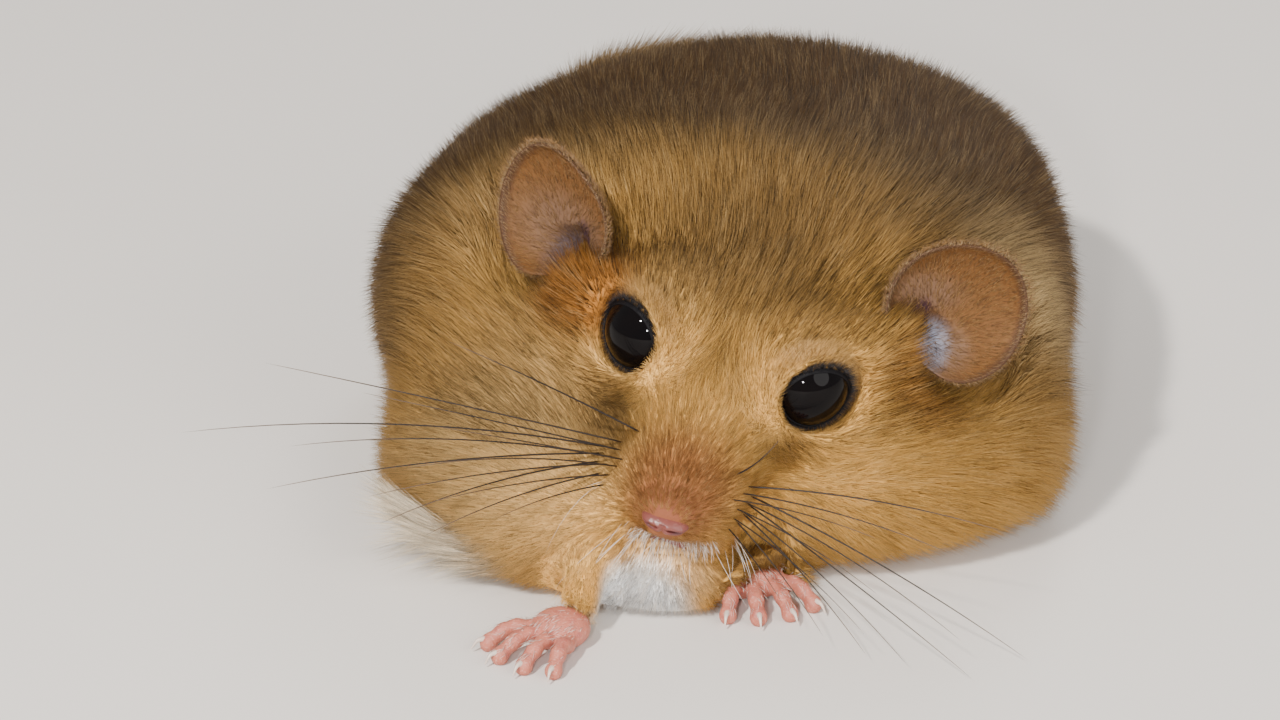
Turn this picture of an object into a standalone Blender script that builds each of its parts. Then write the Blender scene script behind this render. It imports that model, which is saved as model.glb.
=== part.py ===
"""A well-fed hazel dormouse at rest, life size, as a museum model.

Metres, +Z up. The nose points towards -Y and +X is the animal's own left side. The
belly, the four feet and the tail all rest on z = 0. Lengths were first laid out from
the point midway between the eyes, and the finished animal is then moved so that its
origin is the middle of its footprint.
"""

import math
import random

import bmesh
import bpy
from mathutils import Matrix, Vector

# Clearance between neighbouring solids, and how tubes are rounded: one more ring at each
# end, this many radii out and this share as wide.
GAP = 0.0003
CAP_REACH = 0.55
CAP_WIDTH = 0.60

# The masses of the body are melted together on a grid and then relaxed, the face less.
BODY_GRID = 0.0008
BODY_RELAXING = 110
FACE_RELAXING = 8
RELAX_FACTOR = 0.5

# Pose of the head: its middle is the point midway between the eyes.
EYE_HEIGHT = 0.0135
HEAD_YAW = math.radians(-15)
HEAD_PITCH = math.radians(12)
HEAD_ROLL = math.radians(15)
HEAD = (
    Matrix.Translation((0, 0, EYE_HEIGHT))
    @ Matrix.Rotation(HEAD_YAW, 4, "Z")
    @ Matrix.Rotation(HEAD_PITCH, 4, "X")
    @ Matrix.Rotation(HEAD_ROLL, 4, "Y")
)
WORLD = Matrix.Identity(4)
SIDES = {"left": 1, "right": -1}

# Masses of the trunk: centre, half-sizes and how square the side view is (2 is round).
TRUNK_MASSES = {
    "shoulders": ((-0.0005, 0.0165, 0.0114), (0.0226, 0.0145, 0.0141), 2.3),
    "barrel": ((0.0008, 0.0230, 0.0110), (0.0222, 0.0225, 0.0134), 2.2),
    "rump": ((0.0028, 0.0310, 0.0107), (0.0194, 0.0165, 0.0126), 2.2),
    "chest_right": ((-0.0098, 0.0058, 0.0046), (0.0128, 0.0128, 0.0068), 2.4),
    "chest_left": ((0.0098, 0.0080, 0.0050), (0.0128, 0.0126, 0.0070), 2.4),
    "throat": ((-0.0035, -0.0016, 0.0009), (0.0090, 0.0066, 0.0029), 2.2),
}

# The head's profile, nose to nape: place along the head, half-width, top, bottom.
HEAD_PROFILE = (
    (-0.0092, 0.0022, -0.0030, -0.0062),
    (-0.0075, 0.0036, -0.0018, -0.0072),
    (-0.0052, 0.0046, -0.0004, -0.0080),
    (-0.0028, 0.0056, 0.0016, -0.0086),
    (0.0000, 0.0072, 0.0040, -0.0092),
    (0.0030, 0.0094, 0.0062, -0.0096),
    (0.0065, 0.0112, 0.0080, -0.0100),
    (0.0105, 0.0124, 0.0090, -0.0100),
)
HEAD_SLICE = 0.0030
RUFF_CENTRE = Vector((0.0, 0.0120, -0.0030))
RUFF_SIZE = Vector((0.0204, 0.0095, 0.0124))
CHEEK_CENTRE = Vector((0.0082, 0.0056, -0.0050))
CHEEK_SIZE = Vector((0.0082, 0.0080, 0.0064))

# The relaxing of the melted skin fades out towards the nose, which stays sharp.
SHARP_WITHIN = 0.011
RELAXED_BEYOND = 0.021
NOSE_TIP = Vector((0.0, -0.0106, -0.0045))

# Planes that divide the body: a point on each and the way it faces. The head ends at
# its nape and above its throat, in its own frame, and the neck ends behind the ruff.
NAPE_PLANE = (Vector((0.0, 0.0115, 0.0085)), Vector((0.0, 0.86, -0.51)))
THROAT_PLANE = (Vector((0.0, 0.0000, -0.0096)), Vector((0.0, 0.20, -0.98)))
NECK_PLANE = (Vector((0.0, 0.0180, 0.0150)), Vector((0.0, 0.97, -0.24)))
WEDGE_SIZE = 0.12
PIECE_TRIANGLES = {"head": 1700, "neck": 1100, "torso": 1500}
THINNED_TRIANGLES = {"head": 3700, "neck": 900, "torso": 1100}
THINNING_TRIES = 8
THINNING_STEP = 0.03
NOSE_KEPT = 0.0042
EYE_KEPT = 0.0045

# Eyes: in the head's frame for the animal's left side, mirrored for its right.
EYE_SEAT = Vector((0.0054, 0.0000, 0.0004))
EYE_OUTWARD = math.radians(45)
EYE_UPWARD = math.radians(8)
EYE_RADIUS = 0.0029
EYE_SUNK = 0.0010
ORBIT_DEPTH = 0.00080
LID_HEIGHT = 0.00242
LID_ALMOND = 1.16
LID_THICKNESS = 0.00042
LID_SEAT = 0.00021
LID_MARGIN = 0.00017
LID_SEGMENTS = 26
LID_SIDES = 6
OPENING_FLARE = 1.5

# Nose pad, muzzle pads, chin and the grooves between them, in the head's frame.
NOSE_CENTRE = Vector((0.0, -0.0102, -0.0043))
NOSE_SIZE = Vector((0.0017, 0.0013, 0.0011))
NOSTRIL_CENTRE = Vector((0.00085, -0.0113, -0.0045))
NOSTRIL_SIZE = Vector((0.00045, 0.00070, 0.00030))
LIP_CENTRE = Vector((0.0021, -0.0071, -0.0056))
LIP_SIZE = Vector((0.0024, 0.0028, 0.0022))
CHIN_CENTRE = Vector((0.0, -0.0060, -0.0082))
CHIN_SIZE = Vector((0.0019, 0.0027, 0.0011))
GROOVE_RADIUS = 0.00028
GROOVE_SAMPLES = 8
MOUTH_LINE = ((0.0038, -0.0050, -0.0076), (0.0024, -0.0086, -0.0075), (0.0, -0.0094, -0.0070))
PHILTRUM = ((0.0, -0.0110, -0.0056), (0.0, -0.0102, -0.0063), (0.0, -0.0092, -0.0071))

# Ears: a thin bowl that opens along its own -Y, with its tip along +Z.
EAR_CENTRES = {
    "left": Vector((0.0142, 0.0024, 0.0158)),
    "right": Vector((-0.0107, 0.0062, 0.0207)),
}
EAR_OUTWARD = math.radians(29)
EAR_UPWARD = math.radians(22)
EAR_SIZE = Vector((0.0044, 0.0025, 0.0044))
EAR_WALL = 0.00062
EAR_HOLLOW_AHEAD = 0.00074
EAR_RIM_AT = -0.0004
EAR_CURL = 0.0009
EAR_ROOT_CENTRE = Vector((0.0, 0.0040, -0.0016))
EAR_ROOT_SIZE = Vector((0.0026, 0.0024, 0.0028))
TRAGUS_CENTRE = Vector((-0.0027, 0.0000, -0.0029))
TRAGUS_SIZE = Vector((0.0010, 0.0008, 0.0014))
EAR_FOLD_CENTRE = Vector((0.0008, 0.0012, -0.0022))
EAR_FOLD_SIZE = Vector((0.0017, 0.0009, 0.0013))
EAR_TRIANGLES = 720

# Forelegs: elbow, wrist and the heading of the paw (0 is straight ahead).
FORELEGS = {
    "left": {"elbow": (0.0040, 0.0040, 0.0032), "wrist": (0.0014, -0.0026, 0.0020), "heading": 16},
    "right": {"elbow": (-0.0075, -0.0010, 0.0030), "wrist": (-0.0088, -0.0098, 0.0018), "heading": -42},
}
ELBOW_RADIUS = 0.0022
WRIST_RADIUS = 0.0014
FORELEG_ARCH = 0.0003
FORELEG_SAMPLES = 5

# Hind legs: thigh as a mass against the flank, and the foot flat under it.
THIGH_CENTRE = Vector((0.0172, 0.0250, 0.0078))
THIGH_SIZE = Vector((0.0060, 0.0098, 0.0072))
HEEL = Vector((0.0150, 0.0300, 0.0))
HINDFOOT_HEADING = 7

# Paws: sole length and half-width, then the digits' count, length, radius and spread.
FOREPAW = {
    "sole": 0.0030,
    "half_width": 0.0019,
    "digits": 4,
    "reach": 0.0034,
    "radius": 0.00052,
    "spread": 17,
    "triangles": 560,
}
HINDFOOT = {
    "sole": 0.0085,
    "half_width": 0.0020,
    "digits": 5,
    "reach": 0.0042,
    "radius": 0.00058,
    "spread": 11,
    "triangles": 520,
}
PAW_HEIGHT = 0.0013
SOLE_HEIGHT = 0.75 * PAW_HEIGHT
SOLE_REACH = 0.62
KNUCKLE_LIFT = 0.0007
TIP_DIP = 0.0002
CLAW_LENGTH = 0.0007

# Where a digit leaves the sole, as shares of its half-width and length, and how high.
DIGIT_ROOT_ACROSS = 0.52
DIGIT_ROOT_AHEAD = 0.80
DIGIT_ROOT_HEIGHT = 0.72 * PAW_HEIGHT
OUTER_DIGIT_SHORTER = 0.08
DIGIT_RADII = (1.15, 1.0, 1.0, 0.92, 1.1)

# Claws, in radii of their digit: how far ahead and how high they start, and their sizes.
CLAW_AHEAD = 0.40
CLAW_UP = 0.35
CLAW_TIP_HEIGHT = 0.45
CLAW_RADII = (0.60, 0.20)

# Whiskers grow from a pad on each side of the muzzle. Each has its root in the head's
# frame, the way it leaves the pad, its length, and how far its tip sags.
PAD_CENTRE = Vector((0.0036, -0.0066, -0.0041))
PAD_SIZE = Vector((0.0010, 0.0017, 0.0014))
WHISKER_RADIUS = 0.00025
WHISKER_TIP = 0.00012
WHISKER_SAMPLES = 5
WHISKER_SIDES = 5
WHISKER_ARCH = 0.28
WHISKER_CLEAR = 0.0006
WHISKERS = {
    "left": (
        ((0.0036, -0.0062, -0.0036), (1.00, -0.13, 0.02), 0.0165, 0.0012),
        ((0.0037, -0.0066, -0.0041), (1.00, -0.40, -0.36), 0.0175, 0.0024),
        ((0.0036, -0.0070, -0.0045), (1.00, -0.92, -0.44), 0.0185, 0.0020),
        ((0.0034, -0.0074, -0.0048), (0.80, -0.85, -0.42), 0.0105, 0.0012),
    ),
    "right": (
        ((-0.0042, -0.0062, -0.0033), (-1.00, -0.52, 0.80), 0.0165, 0.0002),
        ((-0.0044, -0.0066, -0.0038), (-1.00, -0.40, 0.50), 0.0288, 0.0010),
        ((-0.0043, -0.0072, -0.0043), (-1.00, -0.44, 0.30), 0.0205, 0.0016),
        ((-0.0041, -0.0078, -0.0048), (-1.00, -0.60, 0.16), 0.0125, 0.0012),
    ),
}

# Tail: a loose hook behind the rump, lying on the floor. The radii reach to the tips of
# its coat, which lies in flat locks over a core of half that size. The shape of a lock
# is its width and thickness at each ring, from root to tip, as shares of the full ones.
TAIL_PATH = (
    (0.0020, 0.0430, 0.0055),
    (-0.0010, 0.0505, 0.0036),
    (-0.0075, 0.0580, 0.0034),
    (-0.0105, 0.0660, 0.0034),
    (-0.0072, 0.0735, 0.0034),
    (0.0008, 0.0772, 0.0031),
    (0.0090, 0.0757, 0.0026),
    (0.0142, 0.0700, 0.0012),
)
TAIL_RADII = (0.0033, 0.0036, 0.0038, 0.0038, 0.0037, 0.0034, 0.0028, 0.0013)
TAIL_SAMPLES = 28
TAIL_LENGTHS = {"tail_base": (0, 10), "tail_middle": (10, 19), "tail_tip": (19, 28)}
TAIL_SIDES = 10
CORE_SHARE = 0.5
TAIL_TRIANGLES = 1400
LOCK_ROWS = 10
LOCKS_ROUND = 5
LOCK_STATIONS = 5.4
LOCK_HALF_WIDTH = 0.0019
LOCK_HALF_THICKNESS = 0.00052
LOCK_RADIUS = 0.0038
LOCK_ROOT = 0.55
LOCK_RISE = 0.75
LOCK_SHAPE = ((0.65, 0.90), (1.00, 1.00), (0.72, 0.66), (0.10, 0.18))
LOCK_JITTER = 0.16
LOCK_SEED = 4

SHARP_ANGLE = math.radians(50)
MATERIALS = {
    "coat": ((0.50, 0.33, 0.16), 0.85),
    "coat_pale": ((0.62, 0.52, 0.36), 0.85),
    "ear_skin": ((0.36, 0.21, 0.12), 0.60),
    "eye": ((0.006, 0.006, 0.008), 0.05),
    "nose": ((0.56, 0.25, 0.23), 0.45),
    "whisker": ((0.10, 0.07, 0.05), 0.40),
    "paw_skin": ((0.66, 0.38, 0.33), 0.50),
}


def clear_scene():
    for thing in list(bpy.data.objects):
        bpy.data.objects.remove(thing, do_unlink=True)


def new_object(name, mesh):
    thing = bpy.data.objects.new(name, mesh)
    bpy.context.scene.collection.objects.link(thing)
    return thing


def from_bmesh(name, shape):
    bmesh.ops.recalc_face_normals(shape, faces=shape.faces)
    mesh = bpy.data.meshes.new(name)
    shape.to_mesh(mesh)
    shape.free()
    return new_object(name, mesh)


def ellipsoid(name, centre, half_sizes, frame=WORLD, squareness=2.0, segments=32):
    """An ellipsoid laid out in the given frame, as a closed mesh in the world.

    A squareness over 2 fills out the side view, as in an animal that sags at rest."""
    shape = bmesh.new()
    rings = segments // 2 + 2
    bmesh.ops.create_uvsphere(shape, u_segments=segments, v_segments=rings, radius=1)
    for vertex in shape.verts:
        height = min(abs(vertex.co.z), 1.0)
        round_reach = math.sqrt(max(1.0 - height**2, 0.0))
        if round_reach > 1e-4:
            reach = (1.0 - height**squareness) ** (1.0 / squareness)
            vertex.co.x *= reach / round_reach
            vertex.co.y *= reach / round_reach
    shape.transform(frame @ Matrix.Translation(centre) @ Matrix.Diagonal((*half_sizes, 1)))
    return from_bmesh(name, shape)


def smooth_path(points, samples):
    """Points evenly spread over a smooth curve through the given ones."""
    knots = [Vector(point) for point in points]
    ends = [2 * knots[0] - knots[1]] + knots + [2 * knots[-1] - knots[-2]]
    found = []
    for step in range(samples + 1):
        place = step / samples * (len(knots) - 1)
        span = min(int(place), len(knots) - 2)
        t = place - span
        a, b, c, d = ends[span : span + 4]
        bend = 2 * a - 5 * b + 4 * c - d
        twist = 3 * b - a - 3 * c + d
        found.append((2 * b + (c - a) * t + bend * t**2 + twist * t**3) / 2)
    return found


def tube(name, centres, radii, sides=12, frame=WORLD, round_ends=True):
    """A closed tube along the given centres, with a radius at each."""
    places = [Vector(centre) for centre in centres]
    sizes = list(radii)
    if round_ends:
        start = (places[0] - places[1]).normalized()
        end = (places[-1] - places[-2]).normalized()
        first = places[0] + start * sizes[0] * CAP_REACH
        last = places[-1] + end * sizes[-1] * CAP_REACH
        places = [first] + places + [last]
        sizes = [sizes[0] * CAP_WIDTH] + sizes + [sizes[-1] * CAP_WIDTH]
    shape = bmesh.new()
    rings = []
    side = None
    for index, place in enumerate(places):
        before = places[max(index - 1, 0)]
        after = places[min(index + 1, len(places) - 1)]
        ahead = (after - before).normalized()
        if side is None:
            side = ahead.orthogonal().normalized()
        side = (side - ahead * side.dot(ahead)).normalized()
        other = ahead.cross(side)
        ring = []
        for corner in range(sides):
            angle = 2 * math.pi * corner / sides
            out = side * math.cos(angle) + other * math.sin(angle)
            ring.append(shape.verts.new(frame @ (place + out * sizes[index])))
        rings.append(ring)
    for first, second in zip(rings, rings[1:]):
        for corner in range(sides):
            after = (corner + 1) % sides
            shape.faces.new((first[corner], first[after], second[after], second[corner]))
    shape.faces.new(rings[0])
    shape.faces.new(rings[-1])
    return from_bmesh(name, shape)


def lid_margin(frame):
    """A closed almond ring that lies on the eyeball, as the rim of its lids."""
    reach = EYE_RADIUS + GAP + LID_SEAT
    shape = bmesh.new()
    loops = []
    for step in range(LID_SEGMENTS):
        turn = 2 * math.pi * step / LID_SEGMENTS
        height = (LID_HEIGHT + LID_MARGIN) * math.sin(turn)
        width = (LID_HEIGHT + LID_MARGIN) * LID_ALMOND * math.cos(turn)
        depth = math.sqrt(max(reach**2 - height**2 - width**2, 1e-8))
        middle = Vector((width, -depth, height))
        away = middle.normalized()
        across = Vector((width, 0, height)).normalized()
        loop = []
        for corner in range(LID_SIDES):
            angle = 2 * math.pi * corner / LID_SIDES
            out = across * math.cos(angle) + away * math.sin(angle)
            loop.append(shape.verts.new(frame @ (middle + out * LID_THICKNESS)))
        loops.append(loop)
    for step in range(LID_SEGMENTS):
        first, second = loops[step], loops[(step + 1) % LID_SEGMENTS]
        for corner in range(LID_SIDES):
            after = (corner + 1) % LID_SIDES
            shape.faces.new((first[corner], first[after], second[after], second[corner]))
    return from_bmesh("lids", shape)


def apply_modifiers(thing):
    """Bakes the modifiers of an object into a mesh of its own."""
    graph = bpy.context.evaluated_depsgraph_get()
    graph.update()
    mesh = bpy.data.meshes.new_from_object(thing.evaluated_get(graph))
    thing.modifiers.clear()
    thing.data = mesh
    return thing


def joined(name, things):
    """Lays several meshes into one object, still as separate shells."""
    shape = bmesh.new()
    for thing in things:
        shape.from_mesh(thing.data)
    for thing in things:
        bpy.data.objects.remove(thing, do_unlink=True)
    mesh = bpy.data.meshes.new(name)
    shape.to_mesh(mesh)
    shape.free()
    return new_object(name, mesh)


def largest_shell(thing):
    """Drops every closed surface of a mesh but the one with most faces."""
    shape = bmesh.new()
    shape.from_mesh(thing.data)
    unseen = set(shape.faces)
    shells = []
    while unseen:
        reached = [unseen.pop()]
        shell = list(reached)
        while reached:
            face = reached.pop()
            for edge in face.edges:
                for neighbour in edge.link_faces:
                    if neighbour in unseen:
                        unseen.discard(neighbour)
                        reached.append(neighbour)
                        shell.append(neighbour)
        shells.append(shell)
    shells.sort(key=len)
    for shell in shells[:-1]:
        bmesh.ops.delete(shape, geom=shell, context="FACES")
    loose = [vertex for vertex in shape.verts if not vertex.link_faces]
    bmesh.ops.delete(shape, geom=loose, context="VERTS")
    shape.to_mesh(thing.data)
    shape.free()
    return thing


def open_edges(thing):
    shape = bmesh.new()
    shape.from_mesh(thing.data)
    found = sum(not edge.is_manifold for edge in shape.edges)
    shape.free()
    return found


def combine(thing, others, operation):
    """Boolean of one object with several, which are used up.

    Where the exact solver leaves the surface open, the manifold solver does it again."""
    helpers = bpy.data.collections.new("operands")
    bpy.context.scene.collection.children.link(helpers)
    for other in others:
        helpers.objects.link(other)
    before = thing.data.copy()
    for solver in ("EXACT", "MANIFOLD"):
        thing.data = before.copy()
        modifier = thing.modifiers.new("combine", "BOOLEAN")
        modifier.operation = operation
        modifier.solver = solver
        modifier.operand_type = "COLLECTION"
        modifier.collection = helpers
        apply_modifiers(thing)
        largest_shell(thing)
        if not open_edges(thing):
            break
    for other in others:
        bpy.data.objects.remove(other, do_unlink=True)
    bpy.data.collections.remove(helpers)
    return thing


def union(name, things):
    thing = combine(things[0], things[1:], "UNION")
    thing.name = name
    return thing


def carve(thing, cutters):
    return combine(thing, cutters, "DIFFERENCE")


def copy_of(thing, name="copy"):
    return new_object(name, thing.data.copy())


def envelope(thing):
    """The convex hull of a shape pushed out by the gap, to cut the clearance round it."""
    shape = bmesh.new()
    shape.from_mesh(thing.data)
    hull = bmesh.ops.convex_hull(shape, input=shape.verts[:], use_existing_faces=False)
    inner = list(set(hull["geom_interior"] + hull["geom_unused"]))
    inner = [item for item in inner if isinstance(item, bmesh.types.BMVert)]
    bmesh.ops.delete(shape, geom=inner, context="VERTS")
    kept = set(hull["geom"])
    stray = [face for face in shape.faces if face not in kept]
    bmesh.ops.delete(shape, geom=stray, context="FACES_ONLY")
    stray = [edge for edge in shape.edges if not edge.link_faces]
    bmesh.ops.delete(shape, geom=stray, context="EDGES")
    copy = from_bmesh("envelope", shape)
    push = copy.modifiers.new("grow", "DISPLACE")
    push.strength = GAP
    push.mid_level = 0.0
    return apply_modifiers(copy)


def trim(thing, point, facing):
    """Cuts off what lies beyond a plane on the side it faces, and closes the cut."""
    shape = bmesh.new()
    shape.from_mesh(thing.data)
    geometry = shape.verts[:] + shape.edges[:] + shape.faces[:]
    bmesh.ops.bisect_plane(
        shape, geom=geometry, dist=1e-7, plane_co=point, plane_no=facing, clear_outer=True
    )
    edges = [edge for edge in shape.edges if edge.is_boundary]
    bmesh.ops.holes_fill(shape, edges=edges, sides=0)
    bmesh.ops.triangulate(shape, faces=[face for face in shape.faces if len(face.verts) > 4])
    bmesh.ops.recalc_face_normals(shape, faces=shape.faces)
    shape.to_mesh(thing.data)
    shape.free()
    return thing


def on_floor(thing):
    """Gives a shape its small flat at floor level."""
    return trim(thing, Vector((0, 0, 0)), Vector((0, 0, -1)))


def triangulated(thing):
    shape = bmesh.new()
    shape.from_mesh(thing.data)
    bmesh.ops.triangulate(shape, faces=shape.faces[:])
    shape.to_mesh(thing.data)
    shape.free()


def thinned(thing, triangles, kept=()):
    """Fewer triangles, with none taken away near the kept places.

    A count that would tear the surface is raised a little and tried again."""
    triangulated(thing)
    before = thing.data
    for extra in range(THINNING_TRIES):
        thing.data = before.copy()
        fewer = thing.modifiers.new("thin", "DECIMATE")
        wanted = triangles * (1 + THINNING_STEP * extra)
        fewer.ratio = min(wanted / len(thing.data.polygons), 1.0)
        if kept:
            group = thing.vertex_groups.new(name="free")
            for vertex in thing.data.vertices:
                free = all((vertex.co - place).length > reach for place, reach in kept)
                group.add([vertex.index], float(free), "REPLACE")
            fewer.vertex_group = group.name
        apply_modifiers(thing)
        thing.vertex_groups.clear()
        if not open_edges(thing):
            break
    return thing


def melted(name, things, grid):
    """One skin over several masses, remeshed on an even grid."""
    thing = joined(name, things)
    remesh = thing.modifiers.new("melt", "REMESH")
    remesh.mode = "VOXEL"
    remesh.voxel_size = grid
    return apply_modifiers(thing)


def relax(thing, iterations, weight_at):
    """Smooths a mesh, each point by the share that weight_at gives for its place."""
    group = thing.vertex_groups.new(name="relax")
    for vertex in thing.data.vertices:
        group.add([vertex.index], weight_at(vertex.co), "REPLACE")
    smooth = thing.modifiers.new("relax", "SMOOTH")
    smooth.factor = RELAX_FACTOR
    smooth.iterations = iterations
    smooth.vertex_group = group.name
    apply_modifiers(thing)
    thing.vertex_groups.clear()
    return thing


def ease(low, high, value):
    """0 below low, 1 above high, and a smooth rise between them."""
    share = min(max((value - low) / (high - low), 0.0), 1.0)
    return share * share * (3 - 2 * share)


def sided(point, side):
    """A point given for the animal's left, on the side asked for."""
    return Vector((point[0] * side, point[1], point[2]))


def eye_frame(side):
    """Frame of one eye: its centre, with -Y looking out of the lids."""
    turn = Matrix.Rotation(side * EYE_OUTWARD, 4, "Z") @ Matrix.Rotation(-EYE_UPWARD, 4, "X")
    seat = Matrix.Translation(sided(EYE_SEAT, side)) @ turn
    return HEAD @ seat @ Matrix.Translation((0, EYE_SUNK, 0))


def build_body():
    masses = [
        ellipsoid(name, centre, size, squareness=squareness)
        for name, (centre, size, squareness) in TRUNK_MASSES.items()
    ]
    for along, half_width, top, bottom in HEAD_PROFILE:
        centre = (0.0, along, (top + bottom) / 2)
        size = (half_width, HEAD_SLICE, (top - bottom) / 2)
        masses.append(ellipsoid("profile", centre, size, HEAD))
    masses.append(ellipsoid("ruff", RUFF_CENTRE, RUFF_SIZE, HEAD))
    orbit = EYE_RADIUS + ORBIT_DEPTH
    for side in SIDES.values():
        masses.append(ellipsoid("cheek", sided(CHEEK_CENTRE, side), CHEEK_SIZE, HEAD))
        masses.append(ellipsoid("orbit", (0, 0, 0), (orbit, orbit, orbit), eye_frame(side)))
        masses.append(ellipsoid("lip", sided(LIP_CENTRE, side), LIP_SIZE, HEAD))
    body = melted("body", masses, BODY_GRID)
    nose = HEAD @ NOSE_TIP
    relax(
        body,
        BODY_RELAXING,
        lambda place: ease(SHARP_WITHIN, RELAXED_BEYOND, (place - nose).length),
    )
    return relax(body, FACE_RELAXING, lambda place: 1.0)


def wedge(planes, inset):
    """A block that fills the space behind some planes, drawn back from them by the inset."""
    block = ellipsoid("wedge", (0, 0, 0), (WEDGE_SIZE,) * 3, segments=8)
    for point, facing in planes:
        facing = facing.normalized()
        trim(block, point - facing * inset, facing)
    return block


def divide(body):
    """Head, neck and torso, cut apart along the planes."""
    half_gap = GAP / 2
    turn = HEAD.to_3x3()
    head_planes = [(HEAD @ point, turn @ facing) for point, facing in (NAPE_PLANE, THROAT_PLANE)]
    head = copy_of(body, "head")
    for point, facing in head_planes:
        facing = facing.normalized()
        trim(head, point - facing * half_gap, facing)
    point, facing = NECK_PLANE[0], NECK_PLANE[1].normalized()
    neck = copy_of(body, "neck")
    trim(neck, point - facing * half_gap, facing)
    carve(neck, [wedge(head_planes, -half_gap)])
    torso = copy_of(body, "torso")
    trim(torso, point + facing * half_gap, -facing)
    bpy.data.objects.remove(body, do_unlink=True)
    pieces = {"head": head, "neck": neck, "torso": torso}
    for name, piece in pieces.items():
        on_floor(thinned(piece, PIECE_TRIANGLES[name]))
    return pieces


def build_eyes(head):
    """The eyeballs, in openings with lids that this gives the head."""
    eyes = []
    for side_name, side in SIDES.items():
        frame = eye_frame(side)
        opening = tube(
            "opening",
            [(0, 0, 0), (0, -EYE_RADIUS, 0), (0, -2 * EYE_RADIUS, 0)],
            [LID_HEIGHT, LID_HEIGHT, LID_HEIGHT * OPENING_FLARE],
            sides=20,
            frame=frame @ Matrix.Diagonal((LID_ALMOND, 1, 1, 1)),
            round_ends=False,
        )
        carve(head, [opening])
        union("head", [head, lid_margin(frame)])
        ball = (EYE_RADIUS, EYE_RADIUS, EYE_RADIUS)
        eye = ellipsoid("eye_" + side_name, (0, 0, 0), ball, frame, segments=18)
        carve(head, [envelope(eye)])
        eyes.append((eye, "eye"))
    return eyes


def build_nose(head):
    """The nose pad, on a muzzle that this gives its chin and mouth."""
    union("head", [head, ellipsoid("chin", CHIN_CENTRE, CHIN_SIZE, HEAD, segments=14)])
    right = [sided(point, -1) for point in MOUTH_LINE]
    left = [sided(point, 1) for point in MOUTH_LINE[-2::-1]]
    for points in (right + left, PHILTRUM):
        centres = smooth_path(points, GROOVE_SAMPLES)
        radii = [GROOVE_RADIUS] * len(centres)
        carve(head, [tube("groove", centres, radii, sides=6, frame=HEAD)])
    nose = ellipsoid("nose", NOSE_CENTRE, NOSE_SIZE, HEAD, segments=16)
    carve(head, [envelope(nose)])
    for side in SIDES.values():
        place = sided(NOSTRIL_CENTRE, side)
        carve(nose, [ellipsoid("nostril", place, NOSTRIL_SIZE, HEAD, segments=10)])
    return [(nose, "nose")]


def build_ear(side_name, side):
    """(ear, the space to clear for it in the body)."""
    turn = (
        Matrix.Rotation(HEAD_YAW + side * EAR_OUTWARD, 4, "Z")
        @ Matrix.Rotation(HEAD_PITCH - EAR_UPWARD, 4, "X")
        @ Matrix.Rotation(HEAD_ROLL, 4, "Y")
    )
    ear = ellipsoid("ear", (0, 0, 0), EAR_SIZE, segments=24)
    inner_size = EAR_SIZE - Vector((EAR_WALL, 0, EAR_WALL))
    carve(ear, [ellipsoid("hollow", (0, -EAR_HOLLOW_AHEAD, 0), inner_size, segments=24)])
    trim(ear, Vector((0, EAR_RIM_AT, 0)), Vector((0, -1, 0)))
    for vertex in ear.data.vertices:
        vertex.co.y += EAR_CURL * (vertex.co.x / EAR_SIZE.x) ** 2
    extras = [
        ellipsoid("root", EAR_ROOT_CENTRE, EAR_ROOT_SIZE, segments=16),
        ellipsoid("tragus", sided(TRAGUS_CENTRE, side), TRAGUS_SIZE, segments=10),
        ellipsoid("fold", sided(EAR_FOLD_CENTRE, side), EAR_FOLD_SIZE, segments=10),
    ]
    thinned(union("ear_" + side_name, [ear] + extras), EAR_TRIANGLES)
    ear.data.transform(Matrix.Translation(EAR_CENTRES[side_name]) @ turn)
    ear.data.update()
    ahead = copy_of(ear)
    ahead.data.transform(Matrix.Translation(turn.to_3x3() @ Vector((0, -EAR_SIZE.y, 0))))
    both = joined("space", [copy_of(ear), ahead])
    space = envelope(both)
    bpy.data.objects.remove(both, do_unlink=True)
    return ear, space


def build_ears(head, neck):
    ears = []
    for side_name, side in SIDES.items():
        ear, space = build_ear(side_name, side)
        carve(neck, [copy_of(space)])
        carve(head, [space])
        ears.append((ear, "ear_skin"))
    return ears


def build_digit(paw, off, frame):
    """One digit with its claw, so far off the middle of the paw."""
    angle = math.radians(off * paw["spread"])
    reach = paw["reach"] * (1 - OUTER_DIGIT_SHORTER * off**2)
    radius = paw["radius"]
    across = off * paw["half_width"] * DIGIT_ROOT_ACROSS
    root = Vector((across, -paw["sole"] * DIGIT_ROOT_AHEAD, DIGIT_ROOT_HEIGHT))
    ahead = Vector((math.sin(angle), -math.cos(angle), 0))
    knuckle = root + ahead * reach / 2
    knuckle.z = KNUCKLE_LIFT + radius
    tip = root + ahead * reach
    tip.z = radius - TIP_DIP
    centres = smooth_path((root, knuckle, tip), len(DIGIT_RADII) - 1)
    digit = tube("digit", centres, [radius * size for size in DIGIT_RADII], sides=8, frame=frame)
    claw_root = tip + ahead * radius * CLAW_AHEAD + Vector((0, 0, radius * CLAW_UP))
    claw_tip = tip + ahead * (CLAW_LENGTH + radius * CLAW_AHEAD)
    claw_tip.z = radius * CLAW_TIP_HEIGHT
    radii = [radius * size for size in CLAW_RADII]
    return [digit, tube("claw", [claw_root, claw_tip], radii, sides=6, frame=frame)]


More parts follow.
